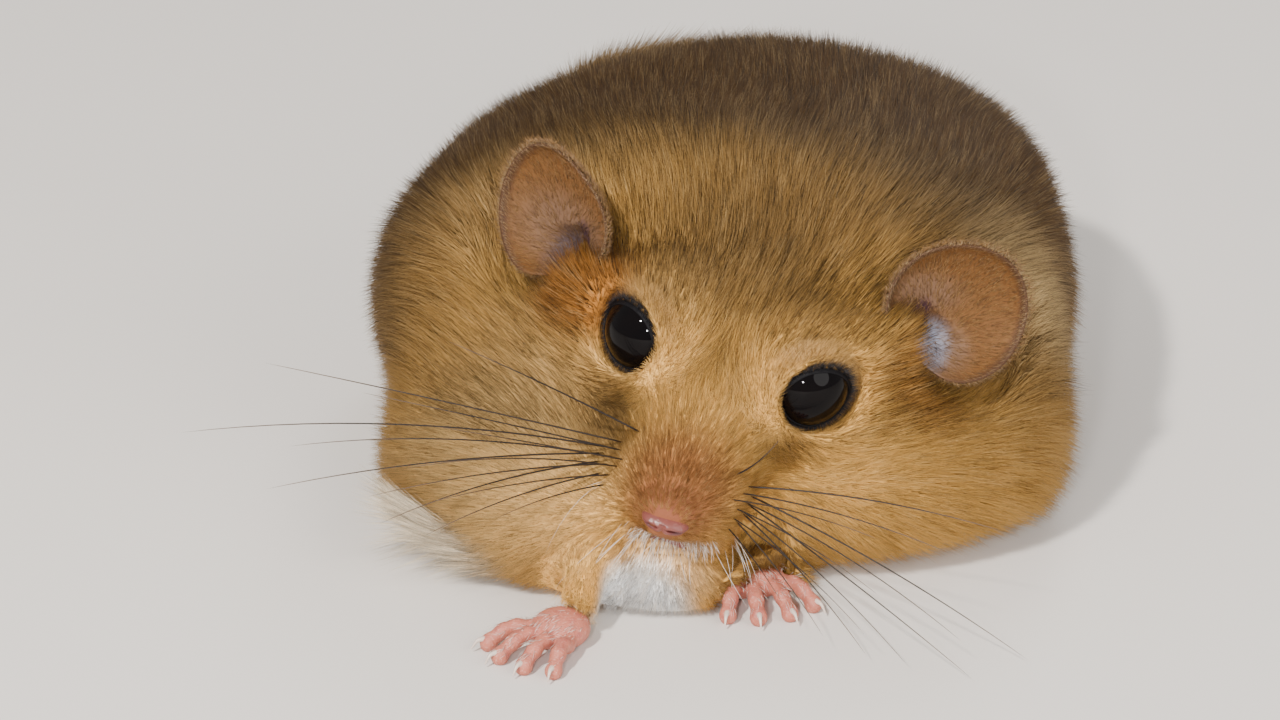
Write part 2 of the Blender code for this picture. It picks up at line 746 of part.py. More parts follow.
def build_paw(name, wrist, heading, paw):
    """A sole with its digits and claws, flat on the floor, reaching ahead of the wrist."""
    turn = Matrix.Rotation(math.radians(heading), 4, "Z")
    frame = Matrix.Translation((wrist[0], wrist[1], 0)) @ turn
    centre = (0, -paw["sole"] / 2, SOLE_HEIGHT)
    size = (paw["half_width"], paw["sole"] * SOLE_REACH, PAW_HEIGHT)
    pieces = [ellipsoid("sole", centre, size, frame, segments=14)]
    middle = (paw["digits"] - 1) / 2
    for digit in range(paw["digits"]):
        pieces += build_digit(paw, digit - middle, frame)
    return on_floor(thinned(union(name, pieces), paw["triangles"]))


def build_forelegs(head, neck):
    limbs = []
    for side_name, limb in FORELEGS.items():
        paw = build_paw("forepaw_" + side_name, limb["wrist"], limb["heading"], FOREPAW)
        elbow, wrist = Vector(limb["elbow"]), Vector(limb["wrist"])
        arch = (elbow + wrist) / 2 + Vector((0, 0, FORELEG_ARCH))
        centres = smooth_path((elbow, arch, wrist), FORELEG_SAMPLES)
        taper = (WRIST_RADIUS - ELBOW_RADIUS) / FORELEG_SAMPLES
        radii = [ELBOW_RADIUS + taper * step for step in range(FORELEG_SAMPLES + 1)]
        leg = on_floor(tube("foreleg_" + side_name, centres, radii, sides=16))
        carve(leg, [envelope(paw)])
        for piece in (head, neck):
            carve(piece, [envelope(leg), envelope(paw)])
        limbs += [(leg, "coat_pale"), (paw, "paw_skin")]
    return limbs


def build_hind_legs(neck, torso):
    limbs = []
    for side_name, side in SIDES.items():
        foot = build_paw("hindfoot_" + side_name, sided(HEEL, side), side * HINDFOOT_HEADING, HINDFOOT)
        thigh = sided(THIGH_CENTRE, side)
        leg = ellipsoid("hindleg_" + side_name, thigh, THIGH_SIZE, segments=20)
        on_floor(carve(leg, [envelope(foot)]))
        for piece in (neck, torso):
            carve(piece, [envelope(leg)])
            carve(piece, [envelope(foot)])
        limbs += [(leg, "coat"), (foot, "paw_skin")]
    return limbs


def whisker_line(root, heading, length, sag):
    """Points along one whisker, which arches a little and hangs clear of the floor."""
    start = HEAD @ Vector(root)
    ahead = Vector(heading).normalized()
    bend = start + ahead * length / 2 + Vector((0, 0, sag * WHISKER_ARCH))
    end = start + ahead * length - Vector((0, 0, sag))
    end.z = max(end.z, WHISKER_CLEAR)
    shares = [step / WHISKER_SAMPLES for step in range(WHISKER_SAMPLES + 1)]
    return [start * (1 - t) ** 2 + bend * 2 * t * (1 - t) + end * t**2 for t in shares]


def build_whiskers(head):
    """A pad on each side of the muzzle with its whiskers, in clearances in the head."""
    taper = (WHISKER_TIP - WHISKER_RADIUS) / WHISKER_SAMPLES
    radii = [WHISKER_RADIUS + taper * step for step in range(WHISKER_SAMPLES + 1)]
    pads = []
    for side_name, side in SIDES.items():
        pad = ellipsoid("pad", sided(PAD_CENTRE, side), PAD_SIZE, HEAD, segments=12)
        hairs = [
            tube("whisker", whisker_line(*whisker), radii, sides=WHISKER_SIDES, round_ends=False)
            for whisker in WHISKERS[side_name]
        ]
        for piece in [pad] + hairs:
            carve(head, [envelope(piece)])
        pads.append((union("whisker_pad_" + side_name, [pad] + hairs), "whisker"))
    return pads


class TailLine:
    """The tail's middle line, with the radius of its coat at each station."""

    def __init__(self):
        self.centres = smooth_path(TAIL_PATH, TAIL_SAMPLES)
        spans = len(TAIL_RADII) - 1
        self.radii = []
        for step in range(TAIL_SAMPLES + 1):
            place = step / TAIL_SAMPLES * spans
            span = min(int(place), spans - 1)
            share = place - span
            self.radii.append(TAIL_RADII[span] * (1 - share) + TAIL_RADII[span + 1] * share)

    def at(self, station):
        """(middle, radius, side, up) at a station, also just past the end."""
        step = min(max(int(station), 0), TAIL_SAMPLES - 1)
        share = station - step
        middle = self.centres[step].lerp(self.centres[step + 1], share)
        radius = self.radii[step] * (1 - share) + self.radii[step + 1] * share
        ahead = (self.centres[step + 1] - self.centres[step]).normalized()
        side = ahead.cross(Vector((0, 0, 1))).normalized()
        return middle, max(radius, TAIL_RADII[-1]), side, side.cross(ahead)


def build_lock(line, station, turn, stations):
    """One flat tapered lock that leaves the core and lies along the tail."""
    shape = bmesh.new()
    rings = []
    for index, (wide, thick) in enumerate(LOCK_SHAPE):
        share = index / (len(LOCK_SHAPE) - 1)
        middle, radius, side, up = line.at(station + stations * share)
        root = radius * CORE_SHARE * LOCK_ROOT
        reach = root + (radius - root - LOCK_HALF_THICKNESS / 2) * share**LOCK_RISE
        out = side * math.cos(turn) + up * math.sin(turn)
        across = up * math.cos(turn) - side * math.sin(turn)
        centre = middle + out * reach
        centre.z = max(centre.z, LOCK_HALF_THICKNESS / 2)
        half_width = across * wide * LOCK_HALF_WIDTH * radius / LOCK_RADIUS
        half_thickness = out * thick * LOCK_HALF_THICKNESS
        corners = (half_width, half_thickness, -half_width, -half_thickness)
        rings.append([shape.verts.new(centre + corner) for corner in corners])
    for first, second in zip(rings, rings[1:]):
        for corner in range(4):
            after = (corner + 1) % 4
            shape.faces.new((first[corner], first[after], second[after], second[corner]))
    shape.faces.new(rings[0])
    shape.faces.new(rings[-1])
    return from_bmesh("lock", shape)


def lock_places():
    """(station, turn, length in stations) of every lock, in staggered rings."""
    chance = random.Random(LOCK_SEED)
    places = []
    for row in range(LOCK_ROWS):
        for index in range(LOCKS_ROUND):
            share = (index + row % 2 / 2 + chance.uniform(-LOCK_JITTER, LOCK_JITTER)) / LOCKS_ROUND
            station = (row + chance.uniform(-LOCK_JITTER, LOCK_JITTER)) / LOCK_ROWS * TAIL_SAMPLES
            stations = LOCK_STATIONS * chance.uniform(1 - LOCK_JITTER, 1 + LOCK_JITTER)
            places.append((station, 2 * math.pi * share, stations))
    return places


def build_tail(torso):
    """The tail in three lengths, each a core under locks that overlap towards the tip."""
    line = TailLine()
    places = lock_places()
    lengths = []
    for name, (start, end) in TAIL_LENGTHS.items():
        low, high = max(start - 1, 0), min(end + 1, TAIL_SAMPLES)
        core = [radius * CORE_SHARE for radius in line.radii[low : high + 1]]
        pieces = [tube(name, line.centres[low : high + 1], core, sides=TAIL_SIDES)]
        for place in places:
            if start - LOCK_STATIONS / 2 < place[0] < end:
                pieces.append(build_lock(line, *place))
        for piece in pieces:
            triangulated(piece)
        length = union(name, pieces)
        for station, sign in ((start, -1), (end, 1)):
            if 0 < station < TAIL_SAMPLES:
                ahead = line.centres[station + 1] - line.centres[station - 1]
                carve(length, [wedge([(line.centres[station], ahead * -sign)], -GAP / 2)])
        largest_shell(on_floor(thinned(length, TAIL_TRIANGLES)))
        lengths.append((length, "coat"))
    carve(torso, [envelope(lengths[0][0])])
    return lengths


def dress(things):
    """Gives every node its material, smooth shading, and a place in the animal's collection."""
    animal = bpy.data.collections.new("dormouse")
    bpy.context.scene.collection.children.link(animal)
    for thing, slot in things:
        colour, roughness = MATERIALS[slot]
        material = bpy.data.materials.get(slot) or bpy.data.materials.new(slot)
        material.use_nodes = True
        surface = material.node_tree.nodes["Principled BSDF"]
        surface.inputs["Base Color"].default_value = (*colour, 1)
        surface.inputs["Roughness"].default_value = roughness
        material.diffuse_color = (*colour, 1)
        thing.data.materials.clear()
        thing.data.materials.append(material)
        for polygon in thing.data.polygons:
            polygon.material_index = 0
            polygon.use_smooth = True
        thing.data.set_sharp_from_angle(angle=SHARP_ANGLE)
        bpy.context.scene.collection.objects.unlink(thing)
        animal.objects.link(thing)


def settle(things):
    """Moves the animal so that its origin is the middle of its footprint."""
    corners = [vertex.co for thing, _ in things for vertex in thing.data.vertices]
    low = [min(corner[axis] for corner in corners) for axis in range(3)]
    high = [max(corner[axis] for corner in corners) for axis in range(3)]
    shift = Vector((-(low[0] + high[0]) / 2, -(low[1] + high[1]) / 2, -low[2]))
    for thing, _ in things:
        thing.data.transform(Matrix.Translation(shift))
        thing.data.update()


def main():
    clear_scene()
    pieces = divide(build_body())
    head, neck, torso = pieces["head"], pieces["neck"], pieces["torso"]
    things = build_eyes(head) + build_nose(head) + build_whiskers(head)
    things += build_ears(head, neck)
    things += build_forelegs(head, neck)
    things += build_hind_legs(neck, torso)
    things += build_tail(torso)
    kept = [(HEAD @ NOSE_CENTRE, NOSE_KEPT)]
    kept += [(eye_frame(side).translation, EYE_KEPT) for side in SIDES.values()]
    for name, piece in pieces.items():
        thinned(piece, THINNED_TRIANGLES[name], kept)
        things.append((piece, "coat"))
    settle(things)
    dress(things)


main()
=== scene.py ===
"""Looks of a well-fed hazel dormouse at rest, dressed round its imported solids.

Lengths are in metres. The nose points towards -Y, +X is the animal's own left side, and
the floor is z = 0. Places are given in the head's frame, whose origin is midway between
the eyes, or in the layout that the solids were drawn in, which `laid` moves into place.
"""

import math

import bmesh
import bpy
import numpy as np
from bpy.props import FloatProperty, FloatVectorProperty, IntProperty, PointerProperty
from bpy.types import Operator, Panel, PropertyGroup
from mathutils import Matrix, Vector
from mathutils.bvhtree import BVHTree
from mathutils.kdtree import KDTree


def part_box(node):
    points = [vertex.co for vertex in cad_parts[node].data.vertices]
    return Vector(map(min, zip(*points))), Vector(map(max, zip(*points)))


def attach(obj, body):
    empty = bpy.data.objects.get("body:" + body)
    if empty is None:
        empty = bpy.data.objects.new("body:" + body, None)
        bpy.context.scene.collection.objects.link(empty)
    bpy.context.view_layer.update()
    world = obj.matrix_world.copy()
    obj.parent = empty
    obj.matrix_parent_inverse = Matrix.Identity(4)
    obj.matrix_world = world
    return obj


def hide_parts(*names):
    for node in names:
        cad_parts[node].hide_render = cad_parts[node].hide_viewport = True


bl_info = {
    "name": "Hazel dormouse",
    "version": (1, 0, 0),
    "blender": (4, 5, 0),
    "location": "3D View > Sidebar > Dormouse",
    "description": "Dresses the dormouse solids in skin, coat, ears, eyes, paws and whiskers",
    "category": "Object",
}

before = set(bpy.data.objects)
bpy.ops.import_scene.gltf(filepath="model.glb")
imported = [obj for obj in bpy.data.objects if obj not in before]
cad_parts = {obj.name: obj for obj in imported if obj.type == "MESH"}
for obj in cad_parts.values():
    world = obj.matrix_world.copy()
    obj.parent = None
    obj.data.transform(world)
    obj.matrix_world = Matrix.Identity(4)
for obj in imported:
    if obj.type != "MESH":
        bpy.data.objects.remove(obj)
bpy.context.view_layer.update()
BAKE_MAP = "OFBake"
MM = 0.001

# The head: its origin is midway between the eyes, and its own -Y looks along the muzzle.
EYE_HEIGHT = 0.0135
HEAD_YAW = math.radians(-15)
HEAD_PITCH = math.radians(12)
HEAD_ROLL = math.radians(15)
HEAD_TURN = (
    Matrix.Rotation(HEAD_YAW, 4, "Z")
    @ Matrix.Rotation(HEAD_PITCH, 4, "X")
    @ Matrix.Rotation(HEAD_ROLL, 4, "Y")
)
EYE_SEAT = Vector((0.0054, 0.0000, 0.0004))
EYE_OUTWARD = math.radians(45)
EYE_UPWARD = math.radians(8)
EYE_SUNK = 0.0010
EYE_LOOK = math.radians(36)
BALL_RADIUS = 0.00272
BALL_PROUD = 0.00050
SIDES = (("left", 1), ("right", -1))

# The solids of flesh that one skin stands for. The tail's own solids carry locks, so the
# skin has a core of its own there.
FLESH = (
    "head",
    "neck",
    "torso",
    "hindleg_left",
    "hindleg_right",
    "foreleg_left",
    "foreleg_right",
)
TAIL_NODES = ("tail_base", "tail_middle", "tail_tip")
PAD_CENTRE = Vector((0.0036, -0.0066, -0.0041))
PAD_SIZE = Vector((0.0010, 0.0017, 0.0014))
NOSE_BED_CENTRE = Vector((0.0, -0.0098, -0.0042))
NOSE_BED_SIZE = Vector((0.00215, 0.00170, 0.00165))
# The gaps between the solids are closed before the skin is drawn over them.
JOINT_CLOSING = 0.00022
SKIN_GRID = 0.00042
SKIN_SMOOTHING = 45
FACE_SMOOTHING = 3

# The coat by distance from the nose tip, in millimetres: hair length, tuft width, how far
# the tufts stand off the skin in degrees, how deep the skin lies, tufts a square millimetre.
COAT_AT = (0.0, 3.0, 6.0, 9.0, 13.0, 18.0, 24.0, 35.0, 60.0)
COAT_LENGTH = (0.42, 0.75, 1.15, 1.60, 2.10, 2.70, 3.20, 3.50, 3.60)
COAT_WIDTH = (0.036, 0.040, 0.044, 0.048, 0.054, 0.062, 0.070, 0.080, 0.105)
COAT_LIFT = (12, 15, 17, 19, 21, 23, 25, 26, 26)
COAT_DEPTH = (0.05, 0.12, 0.25, 0.45, 0.75, 1.10, 1.45, 1.60, 1.60)
COAT_DENSITY = (330, 270, 200, 148, 112, 90, 74, 60, 33)
# The skin lies deeper than that on top of the body, and less deep at its sides.
TOP_DEEPER = 0.00085
SIDE_FULLER = 0.00045
NOSE_TIP = Vector((0.0, -0.0106, -0.0045))
# Tufts in one piece, tufts that lean together, the gap kept above the floor, and the size
# of one tuft's patch on the bake map.
PIECE_TUFTS = 48000
CLUMP = 12
FLOOR_CLEAR = 0.00016
PATCH = 0.0026

# Ears: a thin bowl that opens along its own -Y, with its tip along +Z.
EAR_CENTRES = {
    "left": Vector((0.0142, 0.0024, 0.0158)),
    "right": Vector((-0.0107, 0.0062, 0.0207)),
}
EAR_OUTWARD = math.radians(29)
EAR_UPWARD = math.radians(22)
EAR_RADIUS = 0.0044
EAR_BOWL = 0.0019
EAR_RIM_AT = -0.0004
EAR_CURL = 0.0009
EAR_ROOT_CENTRE = Vector((0.0, 0.0046, -0.0010))
EAR_ROOT_SIZE = Vector((0.0048, 0.0031, 0.0046))
EAR_MOUND_CENTRE = Vector((-0.0041, 0.0002, -0.0025))
EAR_MOUND_SIZE = Vector((0.0028, 0.0026, 0.0033))
EAR_PIT = (-0.0012, -0.0023)
EAR_PIT_WIDTH = 0.0015
EAR_PIT_DEPTH = 0.0017
EAR_SKIN = 0.00030

# Limbs: elbow, wrist and the heading of the paw (0 is straight ahead).
FORELEGS = {
    "left": {"elbow": (0.0040, 0.0040, 0.0032), "wrist": (0.0014, -0.0026, 0.0020), "heading": 16},
    "right": {"elbow": (-0.0075, -0.0010, 0.0030), "wrist": (-0.0088, -0.0098, 0.0018), "heading": -42},
}
HEEL = Vector((0.0150, 0.0300, 0.0))
HINDFOOT_HEADING = 7
FOREPAW = {
    "sole": 0.0030,
    "half_width": 0.0019,
    "digits": 4,
    "reach": 0.0034,
    "radius": 0.00052,
    "spread": 17,
}
HINDFOOT = {
    "sole": 0.0085,
    "half_width": 0.0020,
    "digits": 5,
    "reach": 0.0042,
    "radius": 0.00058,
    "spread": 11,
}
PAW_HEIGHT = 0.0013
PAW_GRID = 0.00013
KNUCKLE_LIFT = 0.0007

# The tail's middle line, from the rump to the tip.
TAIL_PATH = (
    (0.0020, 0.0430, 0.0055),
    (-0.0010, 0.0505, 0.0036),
    (-0.0075, 0.0580, 0.0034),
    (-0.0105, 0.0660, 0.0034),
    (-0.0072, 0.0735, 0.0034),
    (0.0008, 0.0772, 0.0031),
    (0.0090, 0.0757, 0.0026),
    (0.0142, 0.0700, 0.0012),
)
TAIL_RADII = (0.0033, 0.0036, 0.0038, 0.0038, 0.0037, 0.0034, 0.0028, 0.0013)
CORE_SHARE = 0.5
TAIL_SAMPLES = 42


def middle_of(node):
    low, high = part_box(node)
    return (low + high) / 2


def eye_turn(side):
    return Matrix.Rotation(side * EYE_OUTWARD, 4, "Z") @ Matrix.Rotation(-EYE_UPWARD, 4, "X")


def sided(point, side):
    """A point given for the animal's left, on the side asked for."""
    return Vector((point[0] * side, point[1], point[2]))


EYE_LAID = (
    Matrix.Translation((0, 0, EYE_HEIGHT))
    @ HEAD_TURN
    @ Matrix.Translation(EYE_SEAT)
    @ eye_turn(1)
    @ Matrix.Translation((0, EYE_SUNK, 0))
)
LAYOUT = middle_of("eye_left") - EYE_LAID.translation
HEAD = Matrix.Translation(LAYOUT + Vector((0, 0, EYE_HEIGHT))) @ HEAD_TURN
NOSE = HEAD @ NOSE_TIP
EYES = {name: middle_of("eye_" + name) for name, _ in SIDES}


def laid(point):
    return Vector(point) + LAYOUT


def eye_frame(name, side):
    """Frame of one eyeball: its centre, with -Y looking out of the lids."""
    look = Matrix.Rotation(side * EYE_LOOK, 4, "Z") @ Matrix.Rotation(-EYE_UPWARD, 4, "X")
    turn = HEAD.to_3x3().to_4x4() @ look
    return Matrix.Translation(EYES[name]) @ turn @ Matrix.Translation((0, -BALL_PROUD, 0))


def ear_frame(name, side):
    """Frame of one ear: the middle of its rim, with -Y looking out of the bowl."""
    turn = (
        Matrix.Rotation(HEAD_YAW + side * EAR_OUTWARD, 4, "Z")
        @ Matrix.Rotation(HEAD_PITCH - EAR_UPWARD, 4, "X")
        @ Matrix.Rotation(HEAD_ROLL, 4, "Y")
    )
    return Matrix.Translation(laid(EAR_CENTRES[name])) @ turn


# Settings that a user would change.


class CoatSettings(PropertyGroup):
    seed: IntProperty(name="Seed", description="Start of the random draws", default=11, min=0)
    length: FloatProperty(
        name="Length", description="Hair length as a share of the real one", default=1.0, min=0.2, max=2.0
    )
    density: FloatProperty(
        name="Density", description="Tufts as a share of the full coat", default=1.0, min=0.05, max=1.2
    )
    clumping: FloatProperty(
        name="Clumping", description="How far the tips of neighbouring tufts meet", default=0.42, min=0, max=1
    )
    guard_share: FloatProperty(
        name="Guard hairs", description="Share of long dark hairs on the body", default=0.13, min=0, max=1
    )


def colour_setting(name, description, default):
    return FloatVectorProperty(
        name=name, description=description, default=default, subtype="COLOR", size=3, min=0, max=1
    )


class CoatColours(PropertyGroup):
    gold: colour_setting("Gold", "Cheeks and sides of the face", (0.76, 0.425, 0.110))
    back: colour_setting("Back", "Olive brown of the back", (0.230, 0.142, 0.060))
    rump: colour_setting("Rump", "Darker brown of the rump", (0.135, 0.062, 0.014))
    crown: colour_setting("Crown", "Dark patch between the ears", (0.100, 0.052, 0.020))
    rust: colour_setting("Rust", "Patches in front of the ears", (0.37, 0.140, 0.024))
    muzzle: colour_setting("Muzzle", "Bridge of the nose", (0.31, 0.108, 0.038))
    pale: colour_setting("Pale tips", "Lightest hair tips", (0.86, 0.60, 0.28))
    cream: colour_setting("Cream", "Belly and lower flanks", (0.75, 0.57, 0.33))
    white: colour_setting("White", "Throat and lips", (0.90, 0.90, 0.89))
    guard: colour_setting("Guard hairs", "Tips of the long dark hairs", (0.024, 0.014, 0.008))
    lip: colour_setting("Lips", "Hair between the nose and the throat", (0.74, 0.60, 0.50))
    flank: colour_setting("Flank tufts", "Long tufts low on the right flank", (0.84, 0.74, 0.58))


class EarSettings(PropertyGroup):
    thickness: FloatProperty(
        name="Thickness",
        description="Thickness of the ear's skin",
        default=EAR_SKIN,
        unit="LENGTH",
        precision=5,
    )
    skin: colour_setting("Skin", "Inner face of the ear", (0.125, 0.053, 0.015))
    # Painted sheen: greyer patches where light glances off the ear's inner face.
    sheen: colour_setting("Sheen", "Greyer skin near the notch", (0.145, 0.094, 0.070))
    # Painted light and shade in the ear's deep opening: lit and pale on the left ear, dark in shade on the
    # right.
    pit: colour_setting("Concha", "Pale skin in the left ear's opening", (0.27, 0.29, 0.37))
    painted_opening_shade: colour_setting("Dark concha", "Skin in the right ear's opening", (0.060, 0.048, 0.062))
    # Painted shade in the fold beside each ear's opening.
    notch: colour_setting("Notch", "Dark skin beside the opening", (0.045, 0.018, 0.036))


class EyeSettings(PropertyGroup):
    ball: colour_setting("Eyeball", "Colour of the eyeball", (0.0014, 0.0013, 0.0018))
    lid: colour_setting("Lids", "Bare skin round the eye", (0.005, 0.005, 0.006))


class PawSettings(PropertyGroup):
    skin: colour_setting("Skin", "Bare skin of the paws", (0.47, 0.145, 0.094))
    fold: colour_setting("Folds", "Skin in the folds of the digits", (0.40, 0.110, 0.080))
    claw: colour_setting("Claws", "Horn of the claws", (0.50, 0.38, 0.32))


class NoseSettings(PropertyGroup):
    pad: colour_setting("Pad", "Bare skin of the nose", (0.150, 0.036, 0.027))
    nostril: colour_setting("Nostrils", "Inside of the nostrils", (0.10, 0.025, 0.025))


class WhiskerSettings(PropertyGroup):
    seed: IntProperty(name="Seed", description="Start of the random draws", default=5, min=0)
    radius: FloatProperty(
        name="Radius",
        description="Radius at the root of a whisker",
        default=0.000060,
        unit="LENGTH",
        precision=6,
    )
    dark: colour_setting("Dark", "Most of the whiskers", (0.012, 0.009, 0.008))
    pale: colour_setting("Pale", "Chin hairs and lowest whiskers", (0.80, 0.77, 0.72))


class StageSettings(PropertyGroup):
    floor: colour_setting("Floor", "Colour of the floor", (0.74, 0.70, 0.66))
    key: FloatProperty(name="Key light", description="Power of the key light", default=3.7, unit="POWER")
    fill: FloatProperty(name="Fill light", description="Power of the fill light", default=1.2, unit="POWER")
    sky: FloatProperty(name="Surroundings", description="Strength of the even light", default=0.55)


# Shader sockets as Python values.


class Wire:
    """One socket of a material. Arithmetic on it adds Math nodes."""

    def __init__(self, tree, socket=None):
        self.tree = tree
        self.socket = socket

    def node(self, kind, settings=None, inputs=None, output=0):
        """Adds a node: its settings first, then the values or links of its sockets."""
        made = self.tree.nodes.new(kind)
        for key, value in (settings or {}).items():
            setattr(made, key, value)
        for key, value in (inputs or {}).items():
            if isinstance(value, Wire):
                self.tree.links.new(value.socket, made.inputs[key])
            else:
                made.inputs[key].default_value = value
        return Wire(self.tree, made.outputs[output])

    def math(self, operation, *values):
        return self.node("ShaderNodeMath", {"operation": operation}, dict(enumerate(values)))

    def __add__(self, other):
        return self.math("ADD", self, other)

    __radd__ = __add__

    def __sub__(self, other):
        return self.math("SUBTRACT", self, other)

    def __rsub__(self, other):
        return self.math("SUBTRACT", other, self)

    def __mul__(self, other):
        return self.math("MULTIPLY", self, other)

    __rmul__ = __mul__

    def __truediv__(self, other):
        return self.math("DIVIDE", self, other)

    def __pow__(self, other):
        return self.math("POWER", self, other)


def eased(value, low, high):
    """0 below low, 1 above high, and a smooth rise between them."""
    bounds = {"Value": value, "From Min": low, "From Max": high}
    return value.node("ShaderNodeMapRange", {"interpolation_type": "SMOOTHSTEP"}, bounds)


def mixed(below, above, share):
    """One colour over another."""
    return share.node("ShaderNodeMix", {"data_type": "RGBA"}, {0: share, 6: solid(below), 7: solid(above)}, 2)


def solid(colour):
    return colour if isinstance(colour, Wire) else (*colour[:3], 1)


def along_axis(place, axis):
    return place.node("ShaderNodeVectorMath", {"operation": "DOT_PRODUCT"}, {0: place, 1: axis}, "Value")


def minus(place, offset):
    return place.node("ShaderNodeVectorMath", {"operation": "SUBTRACT"}, {0: place, 1: offset})


def stretched(place, scale):
    return place.node("ShaderNodeVectorMath", {"operation": "MULTIPLY"}, {0: place, 1: scale})


def length_of(place):
    return place.node("ShaderNodeVectorMath", {"operation": "LENGTH"}, {0: place}, "Value")


def grain(place, size, detail=2.0):
    """Soft noise with features of about the given size, from 0 to 1."""
    return place.node("ShaderNodeTexNoise", None, {"Vector": place, "Scale": 1 / size, "Detail": detail})


def told_in(place, home):
    """A place in the frame of the solids, told in another frame and in millimetres."""
    offset = minus(place, home.translation)
    axes = [along_axis(offset, home.to_3x3().col[axis]) * (1 / MM) for axis in range(3)]
    return place.node("ShaderNodeCombineXYZ", None, dict(enumerate(axes)))


def spot(place, centre, half_sizes, softness=0.4):
    """1 well inside an ellipsoid, 0 well outside it."""
    reach = length_of(stretched(minus(place, centre), [1 / size for size in half_sizes]))
    return 1 - eased(reach, 1 - softness, 1 + softness)


def position(start):
    return start.node("ShaderNodeNewGeometry", output="Position")


def attribute(start, name, output="Fac"):
    """A per-point value of the mesh, such as a strand's own draw."""
    return start.node("ShaderNodeAttribute", {"attribute_name": name}, None, output)


def new_material(name):
    """(a fresh material, a wire to start from, its Principled node)."""
    material = bpy.data.materials.new(name)
    material.use_nodes = True
    tree = material.node_tree
    return material, Wire(tree), tree.nodes["Principled BSDF"]


def finish_surface(surface, colour, roughness, bump=None, strength=0.3, distance=0.0001, **uniform):
    """Links what varies, and sets what doesn't on the shader's own sockets."""
    links = colour.tree.links
    links.new(colour.socket, surface.inputs["Base Color"])
    if isinstance(roughness, Wire):
        links.new(roughness.socket, surface.inputs["Roughness"])
    else:
        surface.inputs["Roughness"].default_value = roughness
    if bump is not None:
        relief = {"Strength": strength, "Distance": distance, "Height": bump}
        links.new(colour.node("ShaderNodeBump", None, relief).socket, surface.inputs["Normal"])
    sockets = {
        "specular": "Specular IOR Level",
        "under": "Subsurface Weight",
        "under_reach": "Subsurface Radius",
    }
    for key, value in uniform.items():
        surface.inputs[sockets[key]].default_value = value


# Long cream tufts that spill out low on the animal's right flank.
SKIRT_CENTRE = (-0.0138, -0.0340, 0.0016)
SKIRT_SIZE = (0.0046, 0.0070, 0.0030)
SKIRT_LIE = (-1.0, -0.40, -0.05)

# Marks of the coat, laid one over the other: tone, middle and half-sizes in millimetres,
# softness of the edge, and how strongly it covers. These are told in the head's frame:
# a pale shoulder patch, painted light on the lower right cheek, forehead and crown, before
# the ears, before the eyes, whisker pads.
HEAD_MARKS = (
    ("pale", (15.5, 12.0, 4.5), (4.5, 4.5, 5.5), 0.6, 0.75),
    # Painted light: the lower right cheek is made paler where light falls on it.
    ("pale", (-11.5, -7.0, -6.5), (7.0, 7.0, 7.5), 0.6, 0.50),
    ("back", (-1.6, 2.6, 5.2), (6.5, 4.0, 3.6), 0.6, 0.55),
    ("crown", (0.6, 6.2, 7.2), (5.6, 3.4, 4.0), 0.55, 0.30),
    ("rust", (-9.6, 1.0, 1.4), (3.2, 2.6, 4.0), 0.4, 0.92),
    ("rust", (11.4, 2.6, 1.0), (2.8, 2.6, 3.2), 0.4, 0.62),
    ("crown", (-5.4, -3.8, -3.0), (1.6, 2.6, 2.0), 0.6, 0.36),
    ("crown", (4.6, -3.6, -2.2), (1.9, 2.4, 1.3), 0.6, 0.36),
    ("crown", (-5.0, -5.8, -4.0), (1.5, 2.2, 1.8), 0.6, 0.45),
    ("crown", (4.8, -6.0, -4.2), (1.4, 2.0, 1.2), 0.6, 0.30),
)
BRIDGE_MARKS = (("muzzle", (0.0, -8.6, -3.4), (3.4, 3.6, 3.0), 0.5, 0.85),)
# These are told in the frame of the solids: painted shade on the left foreleg, a painted
# shadow along the crease behind the head, and the flank.
BODY_MARKS = (
    # Painted shade: the left foreleg's coat, in shadow under the cheek, darkened with the rump's brown.
    ("rump", (5.9, -35.6, 2.4), (3.2, 2.8, 1.5), 0.6, 0.85),
    # Painted shadow: a dark band along the crease behind the head.
    ("rump", (2.0, -17.9, 25.2), (10.0, 1.5, 3.0), 0.6, 0.55),
    ("flank", Vector(SKIRT_CENTRE) / MM, Vector(SKIRT_SIZE) / MM, 0.3, 0.90),
)
MOUTH_MARKS = (
    ("lip", (0.6, -9.8, -6.9), (2.2, 1.8, 1.0), 0.6, 0.60),
    ("lip", (0.6, -9.8, -8.7), (2.6, 1.8, 1.2), 0.6, 0.30),
    ("white", (-0.4, -10.6, -11.0), (3.1, 3.6, 2.2), 0.3, 1.0),
)
EYE_SHADE = (2.7, 4.0)
EYE_SHADE_STRENGTH = 0.42


def marked(colour, place, marks):
    """A colour with a table of marks laid over it."""
    tones = bpy.context.scene.dormouse_colours
    for tone, centre, half_sizes, softness, strength in marks:
        colour = mixed(colour, getattr(tones, tone), spot(place, centre, half_sizes, softness) * strength)
    return colour


